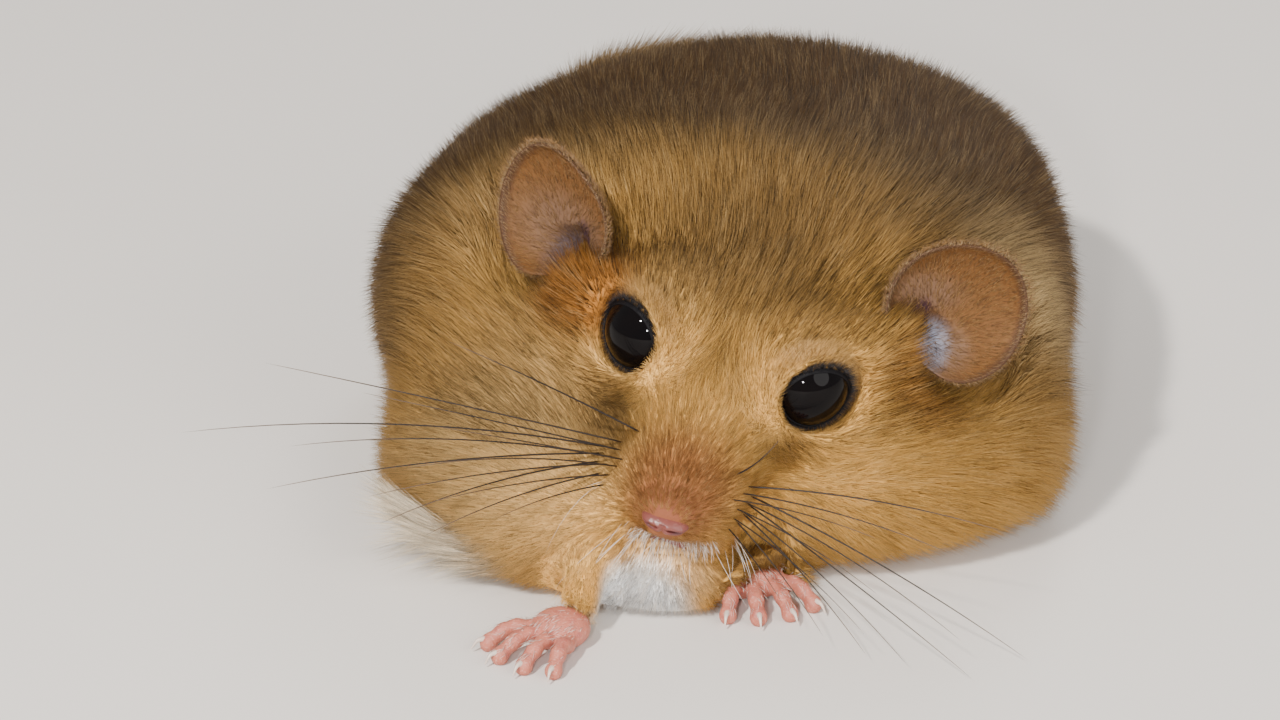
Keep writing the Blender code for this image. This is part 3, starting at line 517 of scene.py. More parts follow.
def coat_markings(place):
    """The coat's colour at a place in the frame of the solids."""
    tones = bpy.context.scene.dormouse_colours
    head = told_in(place, HEAD)
    here = stretched(place, (1 / MM,) * 3)
    height = along_axis(here, (0, 0, 1))
    along = along_axis(here, (0, 1, 0))
    patchy = grain(place, 0.004)
    from_nose = length_of(minus(head, NOSE_TIP / MM))
    colour = mixed(tones.gold, tones.back, eased(from_nose + patchy * 5, 17, 33))
    flank = (1 - eased(height + patchy * 4, 6, 15)) * (1 - eased(along, 8, 16) * 0.75)
    colour = mixed(colour, tones.gold, flank * 0.75)
    colour = mixed(colour, tones.rump, eased(along + patchy * 4, -20, -11) * eased(height, 5, 18) * 0.85)
    colour = marked(colour, head, HEAD_MARKS)
    for eye in EYES.values():
        near = 1 - eased(length_of(minus(here, eye / MM)), *EYE_SHADE)
        colour = mixed(colour, tones.crown, near * EYE_SHADE_STRENGTH)
    colour = marked(colour, head, BRIDGE_MARKS)
    low = 1 - eased(height + patchy * 2, 2.5, 5.5)
    colour = mixed(colour, tones.cream, low * eased(along, -28, -20) * 0.8)
    return marked(marked(colour, here, BODY_MARKS), head, MOUTH_MARKS)


def coat_material():
    """Tufts: dark at the root, banded, and each a little lighter or darker than the next."""
    material, start, surface = new_material("coat")
    tones = bpy.context.scene.dormouse_colours
    along, draw, kind = (attribute(start, name) for name in ("along", "draw", "kind"))
    colour = coat_markings(attribute(start, "root", "Vector"))
    colour = mixed(colour, tones.crown, (1 - eased(along, 0.0, 0.65)) * 0.70)
    colour = mixed(colour, tones.guard, (1 - eased(draw, 0.0, 0.40)) * 0.56)
    colour = mixed(colour, tones.pale, eased(draw, 0.66, 1.0) * eased(along, 0.2, 1.0) * 0.55)
    colour = mixed(colour, tones.guard, kind * 0.90)
    finish_surface(surface, colour, 0.58, specular=0.12)
    return material


# The soft black of the rim round the eyes.
EYE_BLACK = (0.016, 0.014, 0.016)


def skin_material():
    material, start, surface = new_material("skin")
    place = position(start)
    near_nose = 1 - eased(length_of(minus(place, NOSE)), 0.0012, 0.0040)
    colour = mixed(coat_markings(place), bpy.context.scene.dormouse_nose.pad, near_nose * 0.75)
    for eye in EYES.values():
        near = 1 - eased(length_of(minus(place, eye)), 0.0031, 0.0037)
        colour = mixed(colour, EYE_BLACK, near * 0.95)
    finish_surface(surface, colour, 0.7, grain(place, 0.0002, 3.0), 0.5, specular=0.15)
    return material


# Mesh helpers.


def unit(rows):
    return rows / np.maximum(np.linalg.norm(rows, axis=-1, keepdims=True), 1e-12)


def in_frame(points, home):
    """Points told in a frame that only turns and moves."""
    return (points - np.array(home.translation)) @ np.array(home.to_3x3())


def flattened(lie, normals, share=1.0):
    """Directions laid along the surface, by a share of the way."""
    return unit(lie - normals * np.sum(lie * normals, 1, keepdims=True) * share)


def read(rows, key, width, kind=np.float32):
    """One property of every row of a mesh's table."""
    values = np.empty(len(rows) * width, kind)
    rows.foreach_get(key, values)
    return values.reshape(-1, width)


def shade_smooth(mesh):
    mesh.polygons.foreach_set("use_smooth", np.ones(len(mesh.polygons), bool))


def mesh_object(name, points, triangles, uvs=None, values=None):
    """An object from arrays, with per-point attributes and a per-point bake map."""
    mesh = bpy.data.meshes.new(name)
    mesh.vertices.add(len(points))
    mesh.vertices.foreach_set("co", np.asarray(points, np.float32).ravel())
    mesh.loops.add(triangles.size)
    mesh.loops.foreach_set("vertex_index", triangles.astype(np.int32).ravel())
    mesh.polygons.add(len(triangles))
    mesh.polygons.foreach_set("loop_start", np.arange(0, triangles.size, 3, dtype=np.int32))
    mesh.update(calc_edges=True)
    if uvs is not None:
        layer = mesh.uv_layers.new(name=BAKE_MAP)
        layer.data.foreach_set("uv", uvs[triangles.ravel()].astype(np.float32).ravel())
    for key, value in (values or {}).items():
        vector = value.ndim == 2
        made = mesh.attributes.new(key, "FLOAT_VECTOR" if vector else "FLOAT", "POINT")
        made.data.foreach_set("vector" if vector else "value", value.astype(np.float32).ravel())
    shade_smooth(mesh)
    return linked(name, mesh)


def linked(name, mesh):
    thing = bpy.data.objects.new(name, mesh)
    bpy.context.scene.collection.objects.link(thing)
    return thing


def from_bmesh(name, shape):
    bmesh.ops.recalc_face_normals(shape, faces=shape.faces)
    mesh = bpy.data.meshes.new(name)
    shape.to_mesh(mesh)
    shape.free()
    shade_smooth(mesh)
    return linked(name, mesh)


def arrays_of(thing):
    """(points, triangles, place of each triangle's corners among the mesh's) of an object."""
    mesh = thing.data
    mesh.calc_loop_triangles()
    points = read(mesh.vertices, "co", 3).astype(float)
    triangles = read(mesh.loop_triangles, "vertices", 3, np.int32)
    return points, triangles, read(mesh.loop_triangles, "loops", 3, np.int32)


def edges_of(thing):
    return read(thing.data.edges, "vertices", 2, np.int32)


def put_points(thing, points, clearance):
    """Puts moved points back on a mesh, held off the floor, and unwraps it."""
    points[:, 2] = np.maximum(points[:, 2], clearance)
    thing.data.vertices.foreach_set("co", points.astype(np.float32).ravel())
    shade_smooth(thing.data)
    thing.data.update()
    unwrap(thing)


def point_normals(points, triangles):
    a, b, c = (points[triangles[:, corner]] for corner in range(3))
    faces = np.cross(b - a, c - a)
    normals = np.zeros_like(points)
    for corner in range(3):
        np.add.at(normals, triangles[:, corner], faces)
    return unit(normals)


def smoothed(points, edges, rounds, share):
    """Moves each point towards the middle of its neighbours, by its own share."""
    count = np.zeros(len(points))
    np.add.at(count, edges.ravel(), 1)
    for _ in range(rounds):
        total = np.zeros_like(points)
        np.add.at(total, edges[:, 0], points[edges[:, 1]])
        np.add.at(total, edges[:, 1], points[edges[:, 0]])
        points = points + (total / count[:, None] - points) * share[:, None]
    return points


def apply_modifiers(thing):
    graph = bpy.context.evaluated_depsgraph_get()
    graph.update()
    mesh = bpy.data.meshes.new_from_object(thing.evaluated_get(graph))
    thing.modifiers.clear()
    thing.data = mesh
    return thing


def joined(parts):
    """One shape of several mesh objects, which it uses up."""
    shape = bmesh.new()
    for part in parts:
        shape.from_mesh(part.data)
        bpy.data.objects.remove(part, do_unlink=True)
    return shape


def remeshed(name, parts, grid):
    """One closed skin over several closed shapes."""
    shape = joined(parts)
    mesh = bpy.data.meshes.new(name)
    shape.to_mesh(mesh)
    shape.free()
    thing = linked(name, mesh)
    remesh = thing.modifiers.new("melt", "REMESH")
    remesh.mode = "VOXEL"
    remesh.voxel_size = grid
    return apply_modifiers(thing)


def ball(centre, half_sizes, home, segments=24):
    """An ellipsoid in the frame given."""
    shape = bmesh.new()
    bmesh.ops.create_uvsphere(shape, u_segments=segments, v_segments=segments // 2, radius=1)
    shape.transform(home @ Matrix.Translation(centre) @ Matrix.Diagonal((*half_sizes, 1)))
    return from_bmesh("ball", shape)


def smooth_path(points, samples):
    """Points evenly spread over a smooth curve through the given ones."""
    knots = [Vector(point) for point in points]
    ends = [2 * knots[0] - knots[1]] + knots + [2 * knots[-1] - knots[-2]]
    found = []
    for step in range(samples + 1):
        place = step / samples * (len(knots) - 1)
        span = min(int(place), len(knots) - 2)
        t = place - span
        a, b, c, d = ends[span : span + 4]
        cubic = (2 * a - 5 * b + 4 * c - d) * t**2 + (3 * b - a - 3 * c + d) * t**3
        found.append(0.5 * (2 * b + (c - a) * t + cubic))
    return found


def tube(name, centres, radii, home, sides=14):
    """A closed tube along the given centres, with a radius at each and round ends."""
    start = (centres[0] - centres[1]).normalized() * radii[0]
    end = (centres[-1] - centres[-2]).normalized() * radii[-1]
    places = [centres[0] + start * 0.6] + list(centres) + [centres[-1] + end * 0.6]
    sizes = [radii[0] * 0.6] + list(radii) + [radii[-1] * 0.6]
    shape = bmesh.new()
    rings = []
    side = None
    for index, place in enumerate(places):
        ahead = (places[min(index + 1, len(places) - 1)] - places[max(index - 1, 0)]).normalized()
        side = side or ahead.orthogonal().normalized()
        side = (side - ahead * side.dot(ahead)).normalized()
        other = ahead.cross(side)
        ring = []
        for corner in range(sides):
            angle = 2 * math.pi * corner / sides
            out = side * math.cos(angle) + other * math.sin(angle)
            ring.append(shape.verts.new(home @ (place + out * sizes[index])))
        rings.append(ring)
    for first, second in zip(rings, rings[1:]):
        for corner in range(sides):
            after = (corner + 1) % sides
            shape.faces.new((first[corner], first[after], second[after], second[corner]))
    shape.faces.new(rings[0])
    shape.faces.new(rings[-1])
    return from_bmesh(name, shape)


def dressed(piece, material, nodes=()):
    """Gives a piece its material, its body and the solids it stands for."""
    piece.data.materials.clear()
    piece.data.materials.append(material)
    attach(piece, "root")
    if nodes:
        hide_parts(*nodes)
    return piece


# Strands: the one shape that coat, fringe and whiskers are made of.


def strands(name, curve, across, width, thickness, roots, uvs, draw, kind, rings=2, sides=3):
    """One mesh of closed tapered strands, each along the curve of its three points."""
    start, bend, end = curve
    count = len(start)
    t = (np.arange(rings) / rings)[None, :, None]
    path = start[:, None] * (1 - t) ** 2 + 2 * bend[:, None] * t * (1 - t) + end[:, None] * t**2
    ahead = unit(2 * (1 - t) * (bend - start)[:, None] + 2 * t * (end - bend)[:, None])
    side = across[:, None] - ahead * np.sum(across[:, None] * ahead, -1, keepdims=True)
    side = unit(side)
    up = np.cross(ahead, side)
    taper = (1 - t) ** 0.45 * np.where(t == 0, 0.8, 1.0)
    turn = 2 * np.pi * np.arange(sides) / sides
    wide = (width[:, None, None] * taper)[:, :, None] * np.cos(turn)[None, None, :, None]
    thick = (thickness[:, None, None] * taper)[:, :, None] * np.sin(turn)[None, None, :, None]
    rim = path[:, :, None] + side[:, :, None] * wide + up[:, :, None] * thick
    each = rings * sides + 1
    points = np.concatenate([rim.reshape(count, -1, 3), end[:, None]], 1)
    points[..., 2] = np.maximum(points[..., 2], FLOOR_CLEAR / 2)
    faces = []
    for ring in range(rings - 1):
        for corner in range(sides):
            a, b = ring * sides + corner, ring * sides + (corner + 1) % sides
            faces += [(a, b, b + sides), (a, b + sides, a + sides)]
    last = (rings - 1) * sides
    faces += [(last + corner, last + (corner + 1) % sides, each - 1) for corner in range(sides)]
    faces += [(0, corner + 1, corner) for corner in range(1, sides - 1)]
    triangles = np.array(faces)[None] + (np.arange(count) * each)[:, None, None]
    along = np.concatenate([np.repeat(t[0, :, 0], sides), [1.0]])
    spread = np.concatenate([np.tile(np.cos(turn), rings), [0.0]])
    patch = np.stack([spread, along * 2 - 1], 1) * PATCH / 2
    return mesh_object(
        name,
        points.reshape(-1, 3),
        triangles.reshape(-1, 3),
        (uvs[:, None] + patch[None]).reshape(-1, 2),
        {
            "root": np.repeat(roots, each, 0),
            "along": np.tile(along, count),
            "draw": np.repeat(draw, each),
            "kind": np.repeat(kind, each),
        },
    )


def scatter(thing, density_at, rng):
    """(places, normals, bake-map places) spread over a mesh at the density asked for."""
    points, triangles, corners = arrays_of(thing)
    normals = point_normals(points, triangles)
    uvs = read(thing.data.uv_layers[BAKE_MAP].data, "uv", 2)
    a, b, c = (points[triangles[:, corner]] for corner in range(3))
    area = np.linalg.norm(np.cross(b - a, c - a), axis=1) / 2
    middle = (a + b + c) / 3
    facing = unit(np.cross(b - a, c - a))
    wanted = area * density_at(middle, facing)
    count = rng.poisson(wanted)
    chosen = np.repeat(np.arange(len(triangles)), count)
    first, second = rng.random(len(chosen)), rng.random(len(chosen))
    flip = first + second > 1
    first[flip], second[flip] = 1 - first[flip], 1 - second[flip]
    weights = np.stack([1 - first - second, first, second], 1)[:, :, None]

    def blend(rows):
        return np.sum(rows * weights, 1)

    return (
        blend(points[triangles[chosen]]),
        unit(blend(normals[triangles[chosen]])),
        blend(uvs[corners[chosen]]),
    )


def distances(points, centre):
    return np.linalg.norm(points - np.array(centre), axis=1)


def ease(low, high, value):
    share = np.clip((value - low) / (high - low), 0, 1)
    return share * share * (3 - 2 * share)


def coat_at(points, row):
    """A row of the coat table at some points, in its own units."""
    return np.interp(distances(points, NOSE) / MM, COAT_AT, row)


def tail_line():
    return np.array([laid(point) for point in smooth_path(TAIL_PATH, TAIL_SAMPLES)])


def tail_core():
    """The skin of the tail under its coat, half as wide as the coat is."""
    spans = np.linspace(0, len(TAIL_RADII) - 1, TAIL_SAMPLES + 1)
    radii = np.interp(spans, range(len(TAIL_RADII)), TAIL_RADII) * CORE_SHARE
    return tube("tail core", [Vector(place) for place in tail_line()], list(radii), Matrix.Identity(4))


def beside_tail(points):
    """(distance from the tail's middle line, its direction there) for each point."""
    line = tail_line()
    ahead = unit(np.gradient(line, axis=0))
    gap = np.full(len(points), np.inf)
    lie = np.zeros_like(points)
    for place, direction in zip(line, ahead):
        distance = distances(points, place)
        nearer = distance < gap
        gap[nearer] = distance[nearer]
        lie[nearer] = direction
    return gap, lie


def beside_limb(points, start, end):
    """(distance from a limb's middle line, share along it) for each point."""
    start, end = np.array(start), np.array(end)
    along = (points - start) @ (end - start) / ((end - start) @ (end - start))
    nearest = start + np.clip(along, 0, 1)[:, None] * (end - start)
    return np.linalg.norm(points - nearest, axis=1), along


def on_skirt(points):
    """1 where the long flank tufts grow, and 0 elsewhere."""
    offset = (points - np.array(SKIRT_CENTRE)) / np.array(SKIRT_SIZE)
    return 1 - ease(0.75, 1.1, np.linalg.norm(offset, axis=1))


TAIL_REACH = 0.0032
TAIL_DENSER = 3.0
RUMP_END = 0.0440


def on_tail(points):
    """(1 on the tail and 0 on the body, the direction along the tail)."""
    gap, lie = beside_tail(points)
    behind = ease(-0.0015, 0.0015, points[:, 1] - laid((0, RUMP_END, 0)).y)
    return behind * (1 - ease(TAIL_REACH, TAIL_REACH + 0.001, gap)), lie


def on_forelegs(points):
    """(1 on a foreleg and 0 elsewhere, the direction down that leg)."""
    share = np.zeros(len(points))
    lie = np.zeros_like(points)
    for leg in FORELEGS.values():
        elbow, wrist = laid(leg["elbow"]), laid(leg["wrist"])
        gap, _ = beside_limb(points, elbow, wrist)
        near = 1 - ease(0.0022, 0.0032, gap)
        better = near > share
        share[better] = near[better]
        lie[better] = np.array((wrist - elbow).normalized())
    return share, lie


def skin_depth(points, normals):
    """How far the skin lies under the solids, to leave room for the coat."""
    depth = coat_at(points, COAT_DEPTH) * MM
    body = ease(0.014, 0.026, distances(points, NOSE))
    depth = depth + TOP_DEEPER * body * ease(0.35, 0.95, normals[:, 2])
    depth = depth - SIDE_FULLER * body * ease(0.2, 0.8, np.abs(normals[:, 0]))
    leg, _ = on_forelegs(points)
    depth = depth * (1 - leg) + np.minimum(depth, 0.00055) * leg
    depth = depth * (1 - on_tail(points)[0])
    for eye in EYES.values():
        near = 1 - ease(0.0036, 0.0060, distances(points, eye))
        depth = depth * (1 - near) + 0.00010 * near
    return depth


def build_skin():
    """One skin for head, neck, trunk, legs and tail, inside the solids by the coat's depth."""
    parts = []
    for node in FLESH:
        shape = bmesh.new()
        shape.from_mesh(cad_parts[node].data)
        bmesh.ops.remove_doubles(shape, verts=shape.verts, dist=1e-7)
        shape.normal_update()
        for vertex in shape.verts:
            vertex.co += vertex.normal * JOINT_CLOSING
        parts.append(from_bmesh(node, shape))
    for name, side in SIDES:
        parts.append(ball(EAR_ROOT_CENTRE, EAR_ROOT_SIZE, ear_frame(name, side)))
        parts.append(ball(sided(EAR_MOUND_CENTRE, side), EAR_MOUND_SIZE, ear_frame(name, side)))
        parts.append(ball(sided(PAD_CENTRE, side), PAD_SIZE, HEAD))
    parts.append(ball(NOSE_BED_CENTRE, NOSE_BED_SIZE, HEAD))
    parts.append(tail_core())
    skin = remeshed("skin", parts, SKIN_GRID)
    points, triangles, _ = arrays_of(skin)
    edges = edges_of(skin)
    body = ease(*FACE_ENDS, distances(points, NOSE))
    points = smoothed(points, edges, SKIN_SMOOTHING, 0.5 * body)
    points = smoothed(points, edges, FACE_SMOOTHING, np.full(len(points), 0.5))
    depth = skin_depth(points, point_normals(points, triangles)) + JOINT_CLOSING
    for _ in range(4):
        points -= point_normals(points, triangles) * depth[:, None] / 4
        points = smoothed(points, edges, 3, 0.4 * (0.2 + 0.8 * body))
    put_points(skin, points, 0.00005)
    return dressed(skin, skin_material(), FLESH + TAIL_NODES)


def unwrap(thing):
    thing.data.uv_layers.new(name=BAKE_MAP)
    bpy.ops.object.select_all(action="DESELECT")
    bpy.context.view_layer.objects.active = thing
    thing.select_set(True)
    bpy.ops.object.mode_set(mode="EDIT")
    bpy.ops.mesh.select_all(action="SELECT")
    bpy.ops.uv.smart_project(angle_limit=math.radians(66), island_margin=0.003)
    bpy.ops.object.mode_set(mode="OBJECT")


# The coat.

# Long slow waves in its lie: radians for each millimetre along X, Y and Z.
SWIRLS = ((0.31, 0.22, 0.41), (0.27, -0.35, 0.19), (-0.18, 0.29, 0.37))
SWIRL_STRENGTH = 0.16
UNRULINESS = 0.13
# Distances from the nose over which guard hairs begin, and the face passes into the body.
GUARDS_BEGIN = (0.004, 0.013)
FACE_ENDS = (0.012, 0.022)
# Guard hairs stand only above this height. There are more of them on the face, and beside
# other tufts they differ in length, lift and width, first on the face and then on the body.
GUARD_HEIGHT = 0.009
GUARDS_ON_FACE = 1.5
GUARD_LENGTH = (1.45, 1.22)
GUARD_LIFT = (1.20, 0.80)
GUARD_WIDTH = (0.70, 0.92)
# How much longer or shorter the tufts are on tail, forelegs and flank, and beside the eyes.
TAIL_LONGER = 0.35
LEG_SHORTER = 0.20
SKIRT_LONGER = 0.80
EYE_SHORTEST = 0.30
# How far each tuft's own length, width and lift differ from the table's.
LENGTH_RANGE = (0.72, 1.18)
WIDTH_RANGE = (0.75, 1.25)
LIFT_RANGE = (0.60, 1.45)
# A tuft's root lies under the skin, by a share of its length up to a limit.
ROOT_SHARE = 0.07
ROOT_DEPTH = 0.00012
FLATNESS = 0.55


def lie_of_coat(points, normals, rng):
    """The way the hair lies: back from the nose, down the flanks, along tail and legs."""
    away = points - np.array(NOSE)
    reach = np.linalg.norm(away, axis=1)
    back = ease(0.014, 0.036, reach)[:, None]
    flank = np.abs(normals[:, :1]) * back
    lie = unit(away) * (1 - back) + np.array((0, 1.0, -0.10)) * back
    lie = lie + np.array((0, 0, -0.75)) * flank
    wave = np.stack([np.sin(points @ np.array(k) / MM + i) for i, k in enumerate(SWIRLS)], 1)
    lie = lie + wave * SWIRL_STRENGTH * np.minimum(reach / 0.02, 1)[:, None]
    tail, tail_lie = on_tail(points)
    leg, leg_lie = on_forelegs(points)
    lie = lie * (1 - tail)[:, None] + tail_lie * tail[:, None]
    lie = lie * (1 - leg)[:, None] + leg_lie * leg[:, None]
    skirt = on_skirt(points)[:, None]
    lie = lie * (1 - skirt) + np.array(SKIRT_LIE) * skirt
    for eye in EYES.values():
        outward = unit(points - np.array(eye))
        inward = np.minimum(np.sum(lie * outward, 1), 0)
        near = 1 - ease(0.0042, 0.0070, distances(points, eye))
        lie = lie - outward * (inward * near * 1.25)[:, None] + outward * (near * 0.15)[:, None]
    return flattened(lie + rng.normal(0, UNRULINESS, lie.shape), normals)


def out_of_eye(points, home):
    """(points in an eye's frame, how far out each is, where 1 is the edge of the lids)."""
    local = in_frame(points, home)
    return local, np.hypot(local[:, 0] / LID_ALMOND, local[:, 2]) / LID_HEIGHT


def bare(points):
    """True where no coat grows: round the eyeballs, on the nose pad and in the ears' bowls."""
    none = distances(points, HEAD @ Vector((0, -0.0108, -0.0045))) < 0.00095
    for name, side in SIDES:
        local, out = out_of_eye(points, eye_frame(name, side))
        none |= (out < 1.14) & (np.linalg.norm(local, axis=1) < 0.0037)
        local = in_frame(points, ear_frame(name, side))
        bowl = np.hypot(local[:, 0], local[:, 2]) < EAR_RADIUS * 0.80
        mound = (local[:, 0] * side < -0.0020) & (local[:, 2] < 0.0004)
        none |= bowl & ~mound & (np.abs(local[:, 1]) < 0.0022)
    return none


def over_eyes(points):
    """True for points in front of the opening of an eye."""
    over = np.zeros(len(points), bool)
    for name, side in SIDES:
        local, out = out_of_eye(points, eye_frame(name, side))
        over |= (out < 1.06) & (np.linalg.norm(local, axis=1) < 0.0042) & (local[:, 1] < 0)
    return over


def coat_density(points, facing):
    """Tufts a square metre: thinner where the belly lies on the floor."""
    density = coat_at(points, COAT_DENSITY) / MM**2
    hidden = ease(0.45, 0.85, -facing[:, 2]) * (1 - ease(0.0020, 0.0045, points[:, 2]))
    density = density * (1 - 0.85 * hidden) * (1 + TAIL_DENSER * on_tail(points)[0])
    return density * ~bare(points) * bpy.context.scene.dormouse_coat.density


def build_coat(skin):
    """Every tuft of the coat, nearest the nose first, in pieces of at most PIECE_TUFTS."""
    settings = bpy.context.scene.dormouse_coat
    rng = np.random.default_rng(settings.seed)
    roots, normals, uvs = scatter(skin, coat_density, rng)
    count = len(roots)
    tail, _ = on_tail(roots)
    leg, _ = on_forelegs(roots)
    from_nose = distances(roots, NOSE)
    length = coat_at(roots, COAT_LENGTH) * MM * settings.length * rng.uniform(*LENGTH_RANGE, count)
    skirt = on_skirt(roots)
    length *= (1 + TAIL_LONGER * tail) * (1 - LEG_SHORTER * leg) * (1 + SKIRT_LONGER * skirt)
    for eye in EYES.values():
        length *= EYE_SHORTEST + (1 - EYE_SHORTEST) * ease(0.0027, 0.0052, distances(roots, eye))
    width = coat_at(roots, COAT_WIDTH) * MM / 2 * rng.uniform(*WIDTH_RANGE, count)
    lift = np.radians(coat_at(roots, COAT_LIFT) * (1 + 0.15 * tail)) * rng.uniform(*LIFT_RANGE, count)
    lie = lie_of_coat(roots, normals, rng)
    more = GUARDS_ON_FACE - (GUARDS_ON_FACE - 1) * ease(0.014, 0.022, from_nose)
    guard = rng.random(count) < settings.guard_share * more * ease(*GUARDS_BEGIN, from_nose)
    guard &= roots[:, 2] > GUARD_HEIGHT
    body = ease(*FACE_ENDS, from_nose)
    for values, (on_face, on_body) in ((length, GUARD_LENGTH), (lift, GUARD_LIFT), (width, GUARD_WIDTH)):
        values[guard] *= (on_face + (on_body - on_face) * body)[guard]
    first = lie * np.cos(lift * 1.5)[:, None] + normals * np.sin(lift * 1.5)[:, None]
    second = lie * np.cos(lift * 0.55)[:, None] + normals * np.sin(lift * 0.55)[:, None]
    droop = np.array((0, 0, -1.0)) * (0.10 * ease(0.0015, 0.0035, length))[:, None]
    start = roots - normals * np.minimum(ROOT_DEPTH, ROOT_SHARE * length)[:, None]
    bend = start + first * (length * 0.45)[:, None]
    end = bend + (second + droop) * (length * 0.58)[:, None]
    clumping = settings.clumping + (1 - settings.clumping) * 0.85 * skirt
    bend, end, leader = clumped(roots, bend, end, clumping, guard, rng)
    inside = over_eyes(end) | over_eyes(bend)
    for place in (bend, end):
        place[inside] = start[inside] + (place[inside] - start[inside]) * 0.25
    own = rng.random(count)
    draw = np.clip(0.5 + (own - 0.5) * 0.75 + (own[leader] - 0.5) * 0.75, 0, 1)
    low = FLOOR_CLEAR + rng.uniform(0, 0.0005, count)
    for place in (start, bend, end):
        place[:, 2] = np.maximum(place[:, 2], low)
    across = unit(np.cross(normals, lie) + normals * rng.normal(0, 0.35, count)[:, None])
    material = coat_material()
    order = np.argsort(from_nose)
    for index, chosen in enumerate(np.array_split(order, math.ceil(count / PIECE_TUFTS))):
        piece = strands(
            f"coat_{index + 1:02d}",
            (start[chosen], bend[chosen], end[chosen]),
            across[chosen],
            width[chosen],
            width[chosen] * FLATNESS,
            roots[chosen],
            uvs[chosen],
            draw[chosen],
            guard[chosen].astype(float),
            rings=1,
        )
        dressed(piece, material)
    return count


def clumped(roots, bend, end, share, guard, rng):
    """Draws the tips of neighbouring tufts towards a shared one, and tells which it is."""
    leaders = np.arange(0, len(roots), CLUMP)
    tree = KDTree(len(leaders))
    for index in leaders:
        tree.insert(roots[index], index)
    tree.balance()
    leader = np.array([tree.find(root)[1] for root in roots])
    pull = share * rng.uniform(0.3, 1.0, len(roots)) * np.where(guard, 0.3, 1.0)
    reach = np.linalg.norm(end - roots, axis=1)
    leader_reach = np.linalg.norm(end[leader] - roots[leader], axis=1)
    share_out = np.minimum(reach / np.maximum(leader_reach, 1e-6), 1.2)[:, None]
    target = roots[leader] + (end[leader] - roots[leader]) * share_out
    moved_end = end + (target - end) * pull[:, None]
    return bend + (target - end) * (pull * 0.30)[:, None], moved_end, leader


# Eyes and lids.

LID_HEIGHT = 0.00193
LID_ALMOND = 1.11
LID_STEPS = 96
LID_PROFILE = (
    (0.975, 0.00),
    (0.990, 0.04),
    (1.02, 0.06),
    (1.06, 0.03),
    (1.14, -0.02),
    (1.26, -0.02),
    (1.38, -0.08),
)
LID_FUR = (1.05, 1.17)
LID_FOOT = 0.00045
EYEBALL_BROWN = (0.006, 0.004, 0.0035)
LID_FLECK = (0.009, 0.008, 0.009)


def build_eyes():
    """The eyeballs, glossy black, and the bare dark lids round them."""
    settings = bpy.context.scene.dormouse_eyes
    material, start, surface = new_material("eyeball")
    colour = mixed(settings.ball, EYEBALL_BROWN, grain(position(start), 0.0012) * 0.5)
    finish_surface(surface, colour, 0.03, specular=0.10)
    lid_skin, hair = lid_material(), lid_hair_material()
    rng = np.random.default_rng(bpy.context.scene.dormouse_coat.seed + 3)
    for name, side in SIDES:
        home = eye_frame(name, side)
        eye = ball((0, 0, 0), (BALL_RADIUS,) * 3, home, segments=64)
        eye.name = "eyeball_" + name
        dressed(eye, material, ["eye_" + name])
        lids = dressed(build_lids("lids_" + name, side, home), lid_skin)
        lid_hair("lid_hair_" + name, lids, home, hair, rng)


def lid_material():
    """Dark bare skin at the rim that runs out into the colours of the coat."""
    material, start, surface = new_material("lid skin")
    place = position(start)
    fine = grain(place, 0.00018, 3.0)
    colour = mixed(bpy.context.scene.dormouse_eyes.lid, LID_FLECK, fine * 0.6)
    colour = mixed(colour, coat_markings(place), eased(attribute(start, "draw"), 0.2, 0.8) * 0.8)
    finish_surface(surface, colour, 0.40 + fine * 0.25, fine, 0.6, 0.00006, specular=0.07)
    return material


def build_lids(name, side, home):
    """A rolled almond rim that lies on the eyeball and runs out under the coat.

    LID_PROFILE gives how far out it runs, where 1 is the edge, and its height on the ball.
    """
    shape = bmesh.new()
    rings = []
    for step in range(LID_STEPS):
        turn = 2 * math.pi * step / LID_STEPS
        corner = abs(math.cos(turn)) ** 6
        ring = []
        for out, rise in LID_PROFILE:
            wide = LID_HEIGHT * LID_ALMOND * math.cos(turn) * (out + 0.05 * corner)
            high = LID_HEIGHT * math.sin(turn) * out * (1 - 0.04 * math.cos(turn) * side)
            wrinkle = 0.00002 * math.sin(turn * 23) * (out > 1.0)
            reach = BALL_RADIUS + rise * MM + wrinkle
            across = math.hypot(wide, high)
            seat = math.sqrt(max(reach**2 - across**2, 0)) if across < reach else 0
            seat = max(seat, LID_FOOT - 0.9 * max(across - BALL_RADIUS, 0))
            ring.append(shape.verts.new(home @ Vector((wide, -seat, high))))
        rings.append(ring)
    for first, second in zip(rings, rings[1:] + rings[:1]):
        for index in range(len(LID_PROFILE) - 1):
            shape.faces.new((first[index], first[index + 1], second[index + 1], second[index]))
    lids = from_bmesh(name, shape)
    unwrap(lids)
    fur = np.tile(ease(*LID_FUR, np.array([out for out, _ in LID_PROFILE])), LID_STEPS)
    lids.data.attributes.new("draw", "FLOAT", "POINT").data.foreach_set("value", fur.astype(np.float32))
    return lids


